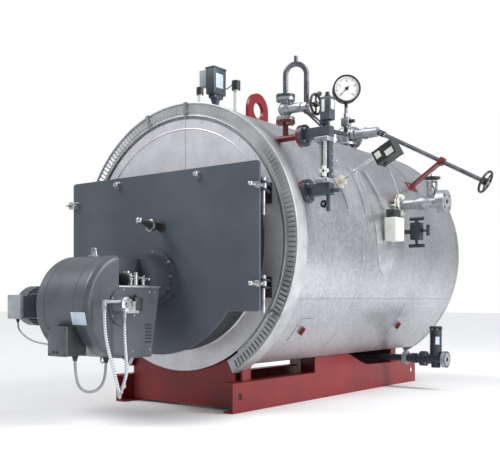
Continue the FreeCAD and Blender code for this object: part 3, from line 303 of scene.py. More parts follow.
# ---- shell cladding -------------------------------------------------------------------
# Hot-dip galvanised steel sheet rolled round the insulated shell: bright, faintly
# spangled and brushed along its length, with overlap joints, rivets and cut-outs patched
# by small sheets where fittings pass through.
sheet_metal, sheet_shader, sheet_place = finish("galvanised_cladding_sheet",
    metal=0.85)
spangle = add(sheet_metal, "ShaderNodeTexVoronoi", {"Vector": sheet_place, "Scale": 1000 / 14},
    feature="F1")
drift = add(sheet_metal, "ShaderNodeTexNoise", {"Vector": sheet_place, "Scale": 1000 / 320,
    "Detail": 3.0})
grey = add(sheet_metal, "ShaderNodeSeparateColor", {"Color": spangle.outputs["Color"]}).outputs
blended = add(sheet_metal, "ShaderNodeMath", {0: grey["Red"], 1: 0.35}, operation="MULTIPLY")
patchy = add(sheet_metal, "ShaderNodeMath", {0: drift.outputs["Fac"], 1: 0.65,
    2: blended.outputs["Value"]}, operation="MULTIPLY_ADD").outputs["Value"]
sheet_gloss = add(sheet_metal, "ShaderNodeMapRange", {"Value": grey["Green"], "To Min": 0.28,
    "To Max": 0.4})
brushed = add(sheet_metal, "ShaderNodeMapping", {"Vector": sheet_place, "Scale": (1, 0.05, 1)})
hairlines = add(sheet_metal, "ShaderNodeTexNoise", {"Vector": brushed.outputs["Vector"],
    "Scale": 1000 / 7, "Detail": 4.0})
sheet_bump = add(sheet_metal, "ShaderNodeBump", {"Height": hairlines.outputs["Fac"],
    "Strength": 0.35, "Distance": 0.0003})
feed(sheet_metal, sheet_shader, {"Base Color": tones(sheet_metal, patchy, "9c9ea2", "c6c8cc",
    0.15, 0.85), "Roughness": sheet_gloss.outputs["Result"],
    "Normal": sheet_bump.outputs["Normal"]})
wear(["cladding"], sheet_metal)

AXIS = 908          # height of the shell's axis
SKIN = 793          # outside of the cladding


def on_skin(turn, behind, r=SKIN):
    """A place at a radius about the shell's axis, degrees up from the right side."""
    a = math.radians(turn)
    return at(r * math.cos(a), behind, AXIS + r * math.sin(a))


def outward(turn):
    """The direction out of the shell at a turn, degrees up from the right side."""
    a = math.radians(turn)
    return Vector((math.cos(a), 0, math.sin(a)))


def wrapped(bm, corners, low, high):
    """Bends a flat outline of (degrees, behind) corners to the skin as a thin sheet."""
    face = bm.faces.new([bm.verts.new((a, b, low)) for a, b in corners])
    made = bmesh.ops.triangulate(bm, faces=[face])["faces"]
    spans = [e for e in bm.edges if any(f in made for f in e.link_faces)]
    bmesh.ops.subdivide_edges(bm, edges=spans, cuts=11, use_grid_fill=True)
    grown = bmesh.ops.extrude_face_region(bm, geom=bm.faces[:])["geom"]
    for v in grown:
        if isinstance(v, bmesh.types.BMVert):
            v.co.z = high
    for v in bm.verts:
        v.co = on_skin(v.co.x, v.co.y, v.co.z)


# Patch sheet: the same zinc-coated steel, newer and brighter.
bright_sheet = coated("fresh_galvanised_sheet", "d0d2d5", "b4b6b9", 60, 5, 0.3,
    0.1, metal=0.8)


def sheet_patch(name, corners, proud, mat=sheet_metal):
    """A thin sheet of a flat outline laid on the skin."""
    bm = bmesh.new()
    wrapped(bm, corners, SKIN - 2, SKIN + proud)
    return piece(name, bm, mat)


def band(name, behind, wide, proud, turn_from, turn_to, mat, r=SKIN):
    """A hoop of sheet round the shell, made by spinning its section."""
    bm = bmesh.new()
    start = math.radians(turn_from)
    section = []
    for off, high in ((-wide / 2, -2), (-wide / 2, proud * 0.6), (-wide / 2 + 3, proud),
                      (wide / 2 - 3, proud), (wide / 2, proud * 0.6), (wide / 2, -2)):
        section.append(bm.verts.new(at((r + high) * math.cos(start), behind + off,
            AXIS + (r + high) * math.sin(start))))
    rim = bm.faces.new(section)
    bmesh.ops.spin(bm, geom=[rim], cent=at(0, behind, AXIS), axis=(0, -1, 0),
        angle=math.radians(turn_to - turn_from), steps=96)
    return piece(name, bm, mat)


band("cladding_joint_front", 706, 34, 2.2, -54, 234, sheet_metal)
band("cladding_joint_rear", 1400, 34, 2.2, -54, 234, sheet_metal)
band("cladding_edge_rear", 2078, 26, 3.5, -54, 234, sheet_metal)

# Zinc-plated steel of rivets, screws, nuts and spindles: cool grey, bright, softly worn.
zinc_steel = coated("zinc_plated_steel", "cfd1d3", "96989b", 30, 2, 0.32, 0.1,
    metal=1.0)


def rivets(name, places, r_mm, mat, rides_on="boiler"):
    """Low domed heads at (place, outward direction) pairs."""
    bm = bmesh.new()
    for place, out in places:
        stand = facing(out, place)
        dome = bmesh.ops.create_uvsphere(bm, u_segments=8, v_segments=4, radius=r_mm / 1000)
        bmesh.ops.scale(bm, vec=(1, 1, 0.55), verts=dome["verts"])
        bmesh.ops.transform(bm, matrix=stand, verts=dome["verts"])
    return piece(name, bm, mat, rides_on, sharp=60)


seam_rivets = []
for behind in (706, 1400, 2078):
    for turn in range(-50, 232, 9):
        seam_rivets.append((on_skin(turn, behind, SKIN + 2.4), outward(turn)))
rivets("cladding_rivets", seam_rivets, 5, zinc_steel)

# Cover patches: one with a pointed foot under the level probe, one with a round foot
# under the feed nozzle, three raised strips and two by the lifting lugs.
sheet_patch("patch_pointed", [(34, 520), (24, 548), (14.5, 562), (8, 706), (13.5, 826),
    (34, 900)], 5.0, bright_sheet)
round_foot = [(24, 850), (10, 850), (2, 852), (-4, 866), (-9, 905), (-11.8, 960), (-11.8, 1010),
    (-9, 1050), (-4, 1075), (4, 1085), (24, 1085)]
sheet_patch("patch_round", round_foot, 4.0, bright_sheet)
# Three raised folded strips side by side, slanting a little down the shell.
for n, (top, foot, w) in enumerate(((794, 762, 44), (880, 812, 36), (978, 994, 40))):
    sheet_patch("strip_" + "abc"[n], [(37, top - w / 2), (13.5 + 2 * n, foot - w / 2),
        (13.5 + 2 * n, foot + w / 2), (37, top + w / 2)], 13.0 if n != 1 else 8.0, bright_sheet)
for n, behind in enumerate((277, 1436)):
    sheet_patch("lug_patch_" + "ab"[n], [(-31, behind - 70), (-42, behind - 70),
        (-42, behind + 70), (-31, behind + 70)], 3.0)
    lug = bmesh.new()
    foot, tip = on_skin(-36.5, behind, SKIN - 4), on_skin(-36.5, behind, SKIN + 22)
    out = (tip - foot).normalized()
    stand = facing(out, (foot + tip) / 2)
    size = Matrix.Diagonal((0.012, 0.046, (tip - foot).length, 1))
    bmesh.ops.create_cube(lug, size=1, matrix=stand @ size)
    soften(lug, lug.edges[:], 3, 2)
    piece("shell_lug_" + "ab"[n], lug, red_enamel)
    frame_rivets = []
    for turn in (-33, -40):
        for off in (-55, 55):
            frame_rivets.append((on_skin(turn, behind + off, SKIN + 3.2), outward(turn)))
    rivets("lug_rivets_" + "ab"[n], frame_rivets, 4.5, zinc_steel)

# Folded lock seam along the lower right of the cladding.
seam = bmesh.new()
wrapped(seam, [(-22.4, 30), (-24, 30), (-24, 2075), (-22.4, 2075)], SKIN - 2, SKIN + 3.5)
piece("cladding_lock_seam", seam, sheet_metal)

# ---- end ring and end plate -----------------------------------------------------------
# Pressed galvanised ring over the cladding's front end, pierced with short louvres so
# that warm air escapes, in three lengths held by over-centre clips. Inside it the flat
# galvanised end plate.
ring_zinc = coated("galvanised_pressing", "c8cacc", "acaeb1", 120, 4, 0.42,
    0.12, metal=0.6)
end_zinc = coated("galvanised_end_plate", "e4e4e7", "cfcfd4", 90, 6, 0.42,
    0.1, metal=0.6)
wear(["front_ring"], ring_zinc)
wear(["front_end_plate", "rear_cover"], end_zinc)

# Slots behind the louvres: painted shade, a dark matt strip standing for the shade inside each
# opening.
slot_painted_shade = coated("shadowed_slot", "5b5d5f", "3a3b3d", 40, 5, 0.9, 0.1)

louvres = bmesh.new()
slots = bmesh.new()
OPEN_HALF = 29.6    # degrees either side of straight down where the ring is open
END_GAP = 1.0       # degrees from the ring's ends to the first and last louvre
COUNT = 158         # louvres, 1.9 degrees apart
for i in range(COUNT):
    turn = OPEN_HALF - 90 + END_GAP + (i + 0.5) * (360 - 2 * (OPEN_HALF + END_GAP)) / COUNT
    out, side = outward(turn), outward(turn + 90)
    centre = on_skin(turn, -0.2, 763)
    stand = framed(side, out, Vector((0, -1, 0)), centre)
    wedge = bmesh.ops.create_cube(louvres, size=1, matrix=Matrix.Diagonal((0.013, 0.046, 0.005,
        1)))
    for v in wedge["verts"]:
        if v.co.z > 0:
            v.co.y *= 0.82
            v.co.z = 0.0065 if v.co.x > 0 else 0.0008
        v.co.z -= 0.0005
    bmesh.ops.transform(louvres, matrix=stand, verts=wedge["verts"])
    stand.translation = centre + side * 0.0085
    # Each slot gets a thin dark strip of painted shade.
    bmesh.ops.create_cube(slots, size=1, matrix=stand @ Matrix.Diagonal((0.005, 0.040, 0.0012, 1)))
piece("ring_louvres", louvres, ring_zinc)
piece("ring_slots", slots, slot_painted_shade)
for name, r, thick in (("ring_bead_outer", 796.5, 5.5), ("ring_bead_inner", 727, 4.5)):
    bead = bmesh.new()
    a = math.radians(-61.0)
    bmesh.ops.create_circle(bead, cap_ends=True, segments=10, radius=thick / 1000,
        matrix=facing((math.sin(a), 0, -math.cos(a)), on_skin(-61, -2, r)))
    bmesh.ops.spin(bead, geom=bead.faces[:], cent=at(0, -2, AXIS), axis=(0, -1, 0),
        angle=math.radians(302), steps=120)
    piece(name, bead, ring_zinc, sharp=60)

clips = bmesh.new()
for turn in (86, 107.5, -30.3):
    stand = framed(outward(turn + 90), outward(turn), (0, -1, 0), on_skin(turn, -5, 765))
    for x, y, z, w, h, d in ((0, 0, 0, 0.026, 0.078, 0.006),
                             (0, 0.012, 0.006, 0.016, 0.034, 0.008),
                             (0, -0.026, 0.005, 0.02, 0.012, 0.01),
                             (0, 0.033, 0.005, 0.022, 0.008, 0.01)):
        bmesh.ops.create_cube(clips, size=1, matrix=stand @ Matrix.Translation((x, y,
            z)) @ Matrix.Diagonal((w, h, d, 1)))
soften(clips, clips.edges[:], 1)
piece("ring_clips", clips, zinc_steel)

# The end plate's stiffening groove and its seam to the left of the door's drum.
groove = bmesh.new()
a = math.radians(20)
bmesh.ops.create_circle(groove, cap_ends=True, segments=8, radius=0.0028,
    matrix=facing((math.sin(a), 0, -math.cos(a)), at(655 * math.cos(a), 0,
    AXIS + 655 * math.sin(a))))
bmesh.ops.spin(groove, geom=groove.faces[:], cent=at(0, 0, AXIS), axis=(0, -1, 0),
    angle=math.radians(140), steps=72)
slab(groove, (45, -1.5, 1274), (48, 2, 1630))
piece("end_plate_groove", groove, end_zinc)
edge_rivets = []
for turn in range(-56, 238, 12):
    a = math.radians(turn)
    edge_rivets.append((on_skin(turn, 0.5, 696), (0, -1, 0)))
rivets("end_plate_rivets", edge_rivets, 4.5, zinc_steel)

# ---- front drum and bare vessel -------------------------------------------------------
# Rolled steel drum ahead of the tube plate in heat-resisting dark paint, and the bare
# mill-scale steel of the vessel under the open belly of the cladding.
slate_paint = coated("slate_grey_powder_coat", "555c66", "434a53", 420, 2.5, 0.42,
    0.12)
heat_black = coated("heat_resisting_black_paint", "34383d", "232629", 90, 4, 0.6,
    0.2)
mill_steel = coated("mill_scale_steel", "4a4c50", "2b2c30", 160, 8, 0.55, 0.3,
    metal=0.6)
wear(["front_drum"], heat_black)
wear(["vessel_shell", "tube_plates", "furnace_tube", "fire_tubes", "blast_tube"], mill_steel)
drum_lip = bmesh.new()
bmesh.ops.create_circle(drum_lip, cap_ends=True, segments=8, radius=0.005,
    matrix=facing((-0.5, 0, -0.866), at(593.5 * 0.866, -3, AXIS - 593.5 * 0.5)))
bmesh.ops.spin(drum_lip, geom=drum_lip.faces[:], cent=at(0, -3, AXIS), axis=(0, -1, 0),
    angle=math.radians(-125), steps=60)
piece("drum_end_bead", drum_lip, end_zinc, sharp=60)

# ---- hinges and door ------------------------------------------------------------------
# Flat steel door plate, powder coated slate grey, carried on two eye bolts that turn on
# pins in welded lugs and held shut by studs with cap nuts.
wear(["door_plate"], slate_paint)
wear(["hinge_brackets"], heat_black)
wear(["hinge_pins", "hinge_eyes", "door_nuts", "sight_glass"], zinc_steel)

# Ceramic fibre board behind the plate: off-white, soft and grainy.
fibre_board = coated("ceramic_fibre_board", "d8d2c2", "b9b29e", 60, 6, 0.93, 0.6)
wear(["door_lining"], fibre_board)

# Rolled edge round the plate and clamp lugs with hooks on the free side.
clamps = bmesh.new()
for up in (1165, 682):
    slab(clamps, (-712, -196, up - 22), (-660, -180.4, up + 22), 3)
    bar(clamps, at(-700, -210, up), at(-700, -190, up), 9)
    bar(clamps, at(-700, -206, up), at(-722, -206, up), 6)
piece("door_clamps", clamps, zinc_steel, "door")
piece_rim = bmesh.new()
for a_, b_ in (((-673, 1293), (673, 1293)), ((-687, 560), (-687, 1279)),
               ((-673, 545), (-486, 545)),
               ((486, 545), (673, 545)), ((687, 560), (687, 664)), ((687, 700), (687, 1150)),
               ((687, 1188), (687, 1279))):
    bar(piece_rim, at(a_[0], -178.6, a_[1]), at(b_[0], -178.6, b_[1]), 1.7, 8)
piece("door_edge", piece_rim, slate_paint, "door")


def cap_nuts(name, places, size, out, rides_on, mat=None):
    """Washer, hexagon and domed cap at each place, standing along out."""
    bm = bmesh.new()
    for place in places:
        turned(bm, place, out, [(0, 0), (0, size * 1.05), (3, size * 1.05), (3, 0)], 28)
        body = bmesh.ops.create_cone(bm, cap_ends=True, segments=6, radius1=size * 0.92 / 1000,
            radius2=size * 0.92 / 1000, depth=size * 0.85 / 1000,
            matrix=facing(out, place + Vector(out).normalized() * (3 + size * 0.42) / 1000))
        top = [e for v in body["verts"] for e in v.link_edges]
        soften(bm, list(set(top)), size * 0.05)
        low = 3 + size * 0.84
        turned(bm, place, out, [(low, 0), (low, size * 0.72), (low + size * 0.35, size * 0.66),
            (low + size * 0.62, size * 0.42), (low + size * 0.72, 0)], 20)
    return piece(name, bm, mat or zinc_steel, rides_on)


door_caps = cap_nuts("door_cap_nuts", [at(x, -180.4, z) for x,
    z in ((-303, 1255), (292, 1258), (-655, 1165), (-655, 682))], 21, (0, -1, 0), "door")
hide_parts("door_nuts")

# The sight glass: a dark flanged stub ringed with bolts, and a rising tail that ends in a
# bright ball.
sight = bmesh.new()
turned(sight, at(30, -180.4, 1000), (0, -1, 0), [(0, 0), (0, 30), (6, 30), (8, 21), (70, 20),
    (72, 31), (74, 33), (84, 33), (86, 31), (88, 26), (91, 18), (91, 0)])
tail = (at(30, -350.3, 1020) - at(30, -258.3, 1000)).normalized()
turned(sight, at(30, -262, 1001), tail, [(0, 0), (0, 12), (30, 12), (32, 16), (44, 16), (46, 12),
    (74, 11), (74, 0)])
sight_tube = piece("flame_sight_tube", sight, heat_black, "door")
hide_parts("sight_glass")
bright = bmesh.new()
ball = bmesh.ops.create_uvsphere(bright, u_segments=24, v_segments=16, radius=0.0192)
bmesh.ops.translate(bright, vec=at(30, -350.3, 1020), verts=ball["verts"])
turned(bright, at(30, -270, 1000), (0, -1, 0), [(-9, 27), (-9, 33.6), (-1, 33.6), (1, 31),
    (1, 27), (-9, 27)])
for i in range(6):
    a = math.tau * i / 6
    hub = at(30 + 24 * math.cos(a), -266, 1000 + 24 * math.sin(a))
    bar(bright, hub, hub + Vector((0, -0.007, 0)), 4, 6)
piece("flame_sight_bright_parts", bright, zinc_steel, "door")


def bolts(bm, centre, out, pcd, number, across, grip=0.0, start=0.5):
    """A ring of hex heads standing on a flange; grip adds nuts on its far side."""
    axis = Vector(out).normalized()
    up = Vector((0, 0, 1)) if abs(axis.z) < 0.9 else Vector((1, 0, 0))
    side = axis.cross(up).normalized()
    high = axis.cross(side)
    for i in range(number):
        a = math.tau * (i + start) / number
        p = centre + (side * math.cos(a) + high * math.sin(a)) * pcd / 2000
        bar(bm, p, p + axis * across * 0.38 / 1000, across / 2 + 1.5, 16)
        bar(bm, p, p + axis * across * 0.62 / 1000, across / 2, 6)
        bar(bm, p, p + axis * across * 0.95 / 1000, across * 0.3, 12)
        if grip:
            q = p - axis * grip / 1000
            bar(bm, q, q - axis * across * 0.62 / 1000, across / 2, 6)
            bar(bm, q, q - axis * across * 0.9 / 1000, across * 0.3, 12)


# ---- burner ---------------------------------------------------------------------------
# Forced-draught oil burner: cast and pressed housing in graphite grey enamel, motor to
# the left, pump on the right of the fan's axis, and a black plastic control box.
graphite = coated("graphite_grey_enamel", "5a5e64", "474b50", 180, 3, 0.34, 0.18)
wear(["burner_flange", "burner_housing", "burner_head"], graphite)
moulded_black = coated("moulded_black_plastic", "2f3134", "1e2022", 60, 1.5,
    0.46, 0.1)
wear(["burner_linkage", "burner_eye"], zinc_steel)

FAN = (-612, 568)    # the fan's and the motor's axis: behind and up

flange_bolts = bmesh.new()
for x, z in ((-118, 660), (118, 660), (-118, 800), (118, 800), (0, 852), (-128, 727), (128, 727)):
    p = at(x, -215.3, z)
    bar(flange_bolts, p, p + Vector((0, -0.004, 0)), 12, 20)
    bar(flange_bolts, p, p + Vector((0, -0.013, 0)), 10, 6)
    bar(flange_bolts, p, p + Vector((0, -0.020, 0)), 5.5, 12)
piece("burner_flange_bolts", flange_bolts, zinc_steel, "door")

# Pump mounting plate on the right face, screws, and a vent of slats beside it.
formed("pump_mounting_plate", graphite, (turned, at(190, -630, 566), (1, 0, 0),
    [(0, 0), (0, 92), (2, 94), (7, 94), (9, 92), (9, 0)], 56), rides_on="door")
screws = []
for i in range(6):
    a = math.tau * (i + 0.5) / 6
    screws.append((at(199, -630 + 84 * math.cos(a), 566 + 84 * math.sin(a)), (1, 0, 0)))
for x, y, z in ((190.5, -440, 640), (190.5, -400, 640), (190.5, -436, 350), (190.5, -560, 345)):
    screws.append((at(x, y, z), (1, 0, 0)))
rivets("housing_screws", screws, 5, zinc_steel, "door")
vent = bmesh.new()
for i in range(6):
    slab(vent, (189.5, -470, 385 + 17 * i), (194, -428, 391 + 17 * i), 1.5)
piece("housing_vent_slats", vent, moulded_black, "door")
formed("housing_edge_fold", graphite, (slab, (-191.5, -610, 660), (191.5, -366, 666), 1.5),
    (slab, (-192, -616, 312.5), (192, -430, 318), 1.5), rides_on="door")
for n, x in enumerate((-120, 95)):
    hoop = bmesh.new()
    turned(hoop, at(x, *FAN), (1, 0, 0), [(0, 250), (0, 256.5), (5, 256.5), (5, 250), (0, 250)],
        72)
    bmesh.ops.bisect_plane(hoop, geom=hoop.verts[:] + hoop.edges[:] + hoop.faces[:],
        plane_co=at(0, -640, 0), plane_no=(0, 1, 0), clear_outer=True)
    bmesh.ops.holes_fill(hoop, edges=[e for e in hoop.edges if e.is_boundary])
    piece("housing_hoop_" + "ab"[n], hoop, graphite, "door")

# Plain pale rating plate, left blank, laid against the round of the housing.
label_film = coated("blank_aluminium_label", "d2dbe9", "b3bccc", 40, 2, 0.4,
    0.05, metal=0.25)
plate = bmesh.new()
lean = math.radians(12.5)
laid = at(134, FAN[0] - 256.4 * math.cos(lean), FAN[1] - 256.4 * math.sin(lean))
turn = Matrix.Translation(laid) @ Matrix.Rotation(lean, 4, "X")
bmesh.ops.create_cube(plate, size=1, matrix=turn @ Matrix.Diagonal((0.1, 0.002, 0.062, 1)))
soften(plate, plate.edges[:], 0.6)
piece("burner_rating_plate", plate, label_film, "door")

# Motor: finned aluminium frame with an end cowl and a square terminal box with its lid.
motor = bmesh.new()
turned(motor, at(-190.6, *FAN), (-1, 0, 0), [(0, 0), (0, 112), (10, 112), (14, 98), (262, 98),
    (266, 107), (334, 107), (344, 104), (352, 96), (364, 92), (364.5, 0)], 56)
for i in range(30):
    a = math.tau * i / 30
    if 2.6 < a < 3.7:
        continue
    mid = at(-329, FAN[0] + 101 * math.cos(a), FAN[1] + 101 * math.sin(a))
    spin_it = Matrix.Translation(mid) @ Matrix.Rotation(a, 4, "X")
    fin = Matrix.Diagonal((0.246, 0.013, 0.003, 1))
    bmesh.ops.create_cube(motor, size=1, matrix=spin_it @ fin)
slab(motor, (-455, -824, 506), (-355, -690, 623), 5)
motor_made = piece("burner_motor_body", motor, graphite, "door")
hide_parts("burner_motor")
lid = bmesh.new()
slab(lid, (-459, -828, 502), (-351, -806, 627), 4)
for x in (-447, -363):
    for z in (514, 615):
        bar(lid, at(x, -827, z), at(x, -829.4, z), 5, 12)
light_enamel = coated("light_grey_enamel", "a6abb1", "868c92", 70, 3, 0.4, 0.12)
piece("motor_box_lid", lid, light_enamel, "door")
CABLE_GLAND = [(0, 0), (0, 12), (8, 12), (10, 9), (20, 8), (22, 4.6), (22, 0)]
CONDUIT_GLAND = [(0, 0), (0, 15), (10, 15), (12, 12), (24, 11), (26, 7.2), (26, 0)]
formed("burner_glands", moulded_black, (turned, at(-440, -775, 506), (0, 0, -1), CABLE_GLAND, 20),
    (turned, at(-30.5, -850, 382), (-1, 0, 0), CABLE_GLAND, 20),
    (turned, at(70, -828, 334), (0, 0, -1), CONDUIT_GLAND, 20),
    (turned, at(95, -650, 315), (0, 0, -1), CONDUIT_GLAND, 20), rides_on="door")
formed("burner_top_lug", zinc_steel, (turned, at(-24, -612, 822), (0, 0, 1),
    [(0, 0), (0, 17), (5, 17), (9, 12), (42, 6), (46, 0)], 24), rides_on="door")
fan_grille = bmesh.new()
for i in range(5):
    turned(fan_grille, at(-554.6, *FAN), (-1, 0, 0), [(0, 12 + 15 * i), (0, 17 + 15 * i),
        (3, 17 + 15 * i), (3, 12 + 15 * i), (0, 12 + 15 * i)], 40)
piece("motor_cowl_rings", fan_grille, moulded_black, "door")

# Control box: a graphite front cover over a dark base, a light rear edge, and buttons.
wear(["control_box"], moulded_black)
formed("control_box_cover", graphite, (slab, (-32, -912, 332), (102, -896, 476), 5),
    rides_on="door")
formed("control_box_rear_edge", light_enamel, (slab, (96, -786, 333), (103, -759, 475), 2),
    rides_on="door")
buttons = bmesh.new()
for x, z in ((12, 352), (40, 352)):
    bar(buttons, at(x, -911, z), at(x, -916, z), 7, 24, 6)
for x in (-22, 92):
    for z in (342, 466):
        bar(buttons, at(x, -911, z), at(x, -914, z), 4.5, 12)
piece("control_box_buttons", buttons, moulded_black, "door")

# Oil pump: die-cast body with its cover bolts, solenoid coil and hose elbows.
die_cast = coated("die_cast_aluminium", "b9bdc2", "8d9196", 35, 2.5, 0.42, 0.2,
    metal=0.75)
wear(["oil_pump"], die_cast)
pump_bits = bmesh.new()
turned(pump_bits, at(260.6, -672, 578), (1, 0, 0), [(0, 0), (0, 36), (6, 36), (8, 30), (8, 14),
    (16, 13), (16, 0)], 32)
bolts(pump_bits, at(266, -672, 578), (1, 0, 0), 58, 4, 10)
for x, y, z in ((250, -806, 556), (250, -676, 496)):
    turned(pump_bits, at(x, y, z), (0, 0, 1), [(0, 0), (0, 12), (4, 12.6), (16, 12.6), (18, 11),
        (24, 11), (24, 0)], 6)
    turned(pump_bits, at(x, y, z - 14), (0, 0, 1), [(0, 0), (0, 9), (2, 9.6), (16, 9.6), (16, 0)],
         24)
piece("pump_fittings", pump_bits, zinc_steel, "door")
for name, end, before in (("hose_end_front", (250, -712, 160), (250, -722, 200)),
                          ("hose_end_rear", (235, -684, 162), (246, -675, 200))):
    out = (at(*end) - at(*before)).normalized()
    fitting = bmesh.new()
    turned(fitting, at(*end) - out * 0.018, out, [(0, 0), (0, 9), (2, 10), (18, 10), (18, 0)], 24)
    turned(fitting, at(*end), out, [(0, 0), (0, 11), (1.5, 12), (20.5, 12), (22, 11), (22, 0)], 6)
    turned(fitting, at(*end), out, [(21, 0), (21, 7), (29, 7), (30, 6), (30, 0)], 24)
    piece(name, fitting, zinc_steel, "door")
    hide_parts("hose_nuts")
formed("pump_solenoid", moulded_black, (slab, (202, -603, 545), (250.6, -548, 613), 4),
    (turned, at(226, -576, 612), (0, 0, 1), [(0, 0), (0, 12), (8, 12), (10, 8), (16, 7), (16, 0)],
     20), rides_on="door")

# Linkage on the ledge: servo with a graduated dial, cam, rods and small gauges.
linkage = bmesh.new()
turned(linkage, at(106, -520, 731), (0, 0, 1), [(0, 0), (0, 26), (6, 26), (8, 22), (14, 20),
    (14, 0)], 32)
for x, y, r, h in ((172, -470, 9, 44), (172, -556, 10, 58),
                   (150, -440, 7, 52), (118, -452, 8, 40)):
    turned(linkage, at(x, y, 674), (0, 0, 1), [(0, 0), (0, r), (h * 0.4, r), (h * 0.42, r * 1.5),
        (h * 0.6, r * 1.5), (h * 0.62, r * 0.7), (h, r * 0.7), (h, 0)], 20)
bar(linkage, at(70, -472, 712), at(176, -560, 722), 4, 12)
bar(linkage, at(176, -560, 722), at(176, -430, 706), 4, 12)
for x, y, z in ((70, -472, 712), (176, -560, 722), (176, -430, 706)):
    ball = bmesh.ops.create_uvsphere(linkage, u_segments=12, v_segments=8, radius=0.008)
    bmesh.ops.translate(linkage, vec=at(x, y, z), verts=ball["verts"])
piece("linkage_parts", linkage, zinc_steel, "door")
formed("linkage_servo", moulded_black, (slab, (60.5, -562, 669), (151.5, -476, 732), 5),
    rides_on="door")
formed("ledge_rim", die_cast, (slab, (54, -656, 662), (193, -360, 670.5), 2), rides_on="door")

# ---- top of the shell -----------------------------------------------------------------
# Red lifting eye, the level controller's cast head with its pale label, and the two
# capped probes with a thin wire between them.
dark_cast = coated("dark_enamelled_casting", "45505a", "2f383f", 60, 4, 0.42, 0.3)
wear(["top_controller", "pressure_manifold", "level_gauge"], dark_cast)
pale_plastic = coated("cream_moulded_plastic", "e4e9e1", "cdd2c9", 50, 2, 0.45,
    0.08)
wear(["top_probes", "water_box"], pale_plastic)

control_head = formed("controller_body", dark_cast, (slab, (-6, 243, 1812), (58, 359, 1971), 6),
    (slab, (2, 256, 1790), (50, 346, 1816), 8), (turned, at(22, 301, 1698), (0, 0, 1),
    [(0, 0), (0, 24), (10, 24), (14, 17), (60, 19), (96, 30), (96, 0)], 28),
    (slab, (-9, 240.6, 1963), (60.6, 361, 1974), 3))
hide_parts("top_controller")
rear_half = bmesh.new()
slab(rear_half, (-58, 246, 1866), (-5, 336, 1963), 5)
for y in (262, 320):
    bar(rear_half, at(-57, y, 1914), at(-61, y, 1914), 5, 12)
piece("controller_pale_half", rear_half, light_enamel)
formed("controller_label", label_film, (slab, (57.6, 262, 1850), (59.4, 328, 1934), 0.6))
caps = bmesh.new()
turned(caps, at(0, 185, 1797), (0, 0, 1), [(0, 0), (0, 21), (42, 21), (44.5, 18), (44.5, 0)], 28)
turned(caps, at(0, 531, 1896), (0, 0, 1), [(0, 0), (0, 27.2), (56, 27.2), (59.5, 23), (59.5, 0)],
    28)
for start, end in (((0, 531, 1926), (10, 478, 1916)), ((10, 478, 1916), (22, 420, 1880)),
                   ((22, 420, 1880), (30, 356, 1852))):
    bar(caps, at(*start), at(*end), 3.5, 10)
piece("probe_caps", caps, moulded_black)
sockets = bmesh.new()
for y, r in ((185, 21), (531, 25)):
    turned(sockets, at(0, y, 1700), (0, 0, 1), [(0, 0), (0, r + 6), (8, r + 6), (10, r),
        (30, r - 1), (30, 0)], 6)
piece("probe_sockets", sockets, zinc_steel)

# ---- valves ---------------------------------------------------------------------------
# Cast valves in silver heat-resisting paint: pale, grainy, softly metallic. Flange bolts
# and nuts are zinc plated; some flanges are painted dark red with the pipework.
silver_cast = coated("silver_painted_casting", "b4b7bb", "7f8287", 28, 3, 0.38,
    0.5, metal=0.55)
pipe_red = coated("dark_red_enamel", "7e2228", "55141a", 60, 4, 0.38, 0.2)
wear(["steam_valve", "isolating_valve", "feed_valve"], silver_cast)
wear(["gauge_foot"], dark_cast)
valve_blue = coated("dark_blue_valve_enamel", "303843", "1c2229", 40, 3, 0.36, 0.3)
wear(["blowdown_valve", "sample_valve"], valve_blue)
wear(["gauge_pipe", "spindle_bracket"], pipe_red)
drawn_steel = coated("drawn_steel_tube", "7f8287", "55585d", 70, 3, 0.34, 0.1,
    metal=0.85)
wear(["steam_spindle", "siphon_pipe"], drawn_steel)
wheel_enamel = coated("black_wheel_enamel", "26292c", "131415", 30, 3, 0.3, 0.15)
wear(["steam_wheel", "isolating_wheel", "feed_wheel"], wheel_enamel)

STEAM_VALVE, ROD_TOP, ROD_END = at(150, 1620, 1769), at(440, 1620, 1746), at(1164, 1620, 1344)
AXLE = (ROD_END - ROD_TOP).normalized()


def sleeve(name, place, out, outline, mat, rides_on="boiler", steps=40):
    """A piece that is one turned shape."""
    bm = bmesh.new()
    turned(bm, place, out, outline, steps)
    return piece(name, bm, mat, rides_on)


steam_bolts = bmesh.new()
bolts(steam_bolts, at(150, 1620, 1715), (0, 0, 1), 125, 4, 17, 16)
bolts(steam_bolts, at(150, 1710, 1769), (0, -1, 0), 125, 4, 17)
BONNET = (at(404.9, 1620, 1765.4) - STEAM_VALVE).normalized()
bolts(steam_bolts, STEAM_VALVE + BONNET * 0.0825, BONNET, 86, 6, 11)
piece("steam_valve_bolts", steam_bolts, zinc_steel)
sleeve("steam_valve_bonnet", STEAM_VALVE + BONNET * 0.09, BONNET,
    [(0, 0), (0, 38), (14, 38), (22, 35), (60, 35), (62, 41), (78, 41), (80, 35), (122, 34.8),
    (122, 0)], silver_cast)
sleeve("steam_valve_gland", STEAM_VALVE + BONNET * 0.212, BONNET,
    [(0, 0), (0, 30), (10, 30), (12, 22), (24, 22), (24, 0)], moulded_black,
    steps=6)
sleeve("spindle_joint_cover", ROD_TOP - AXLE * 0.0295, AXLE,
    [(0, 0), (0, 20.6), (14, 20.6), (16, 17), (24, 17), (26, 21), (42, 21), (44, 15), (44, 0)],
    moulded_black, "main_steam_spindle")
formed("spindle_collars", zinc_steel, (turned, ROD_TOP + AXLE * 0.022, AXLE,
    [(0, 13), (0, 19), (8, 19), (8, 13), (0, 13)], 24),
    (turned, ROD_END + AXLE * 0.0075, AXLE, [(0, 0), (0, 15), (4, 15), (4, 8), (12, 7), (12, 0)],
    6), rides_on="main_steam_spindle")
base_bolts = bmesh.new()
for off in (-46, 46):
    p = on_skin(34.8, 1620 + off, SKIN + 4.5)
    bar(base_bolts, p, p + outward(34.8) * 0.009, 9, 6)
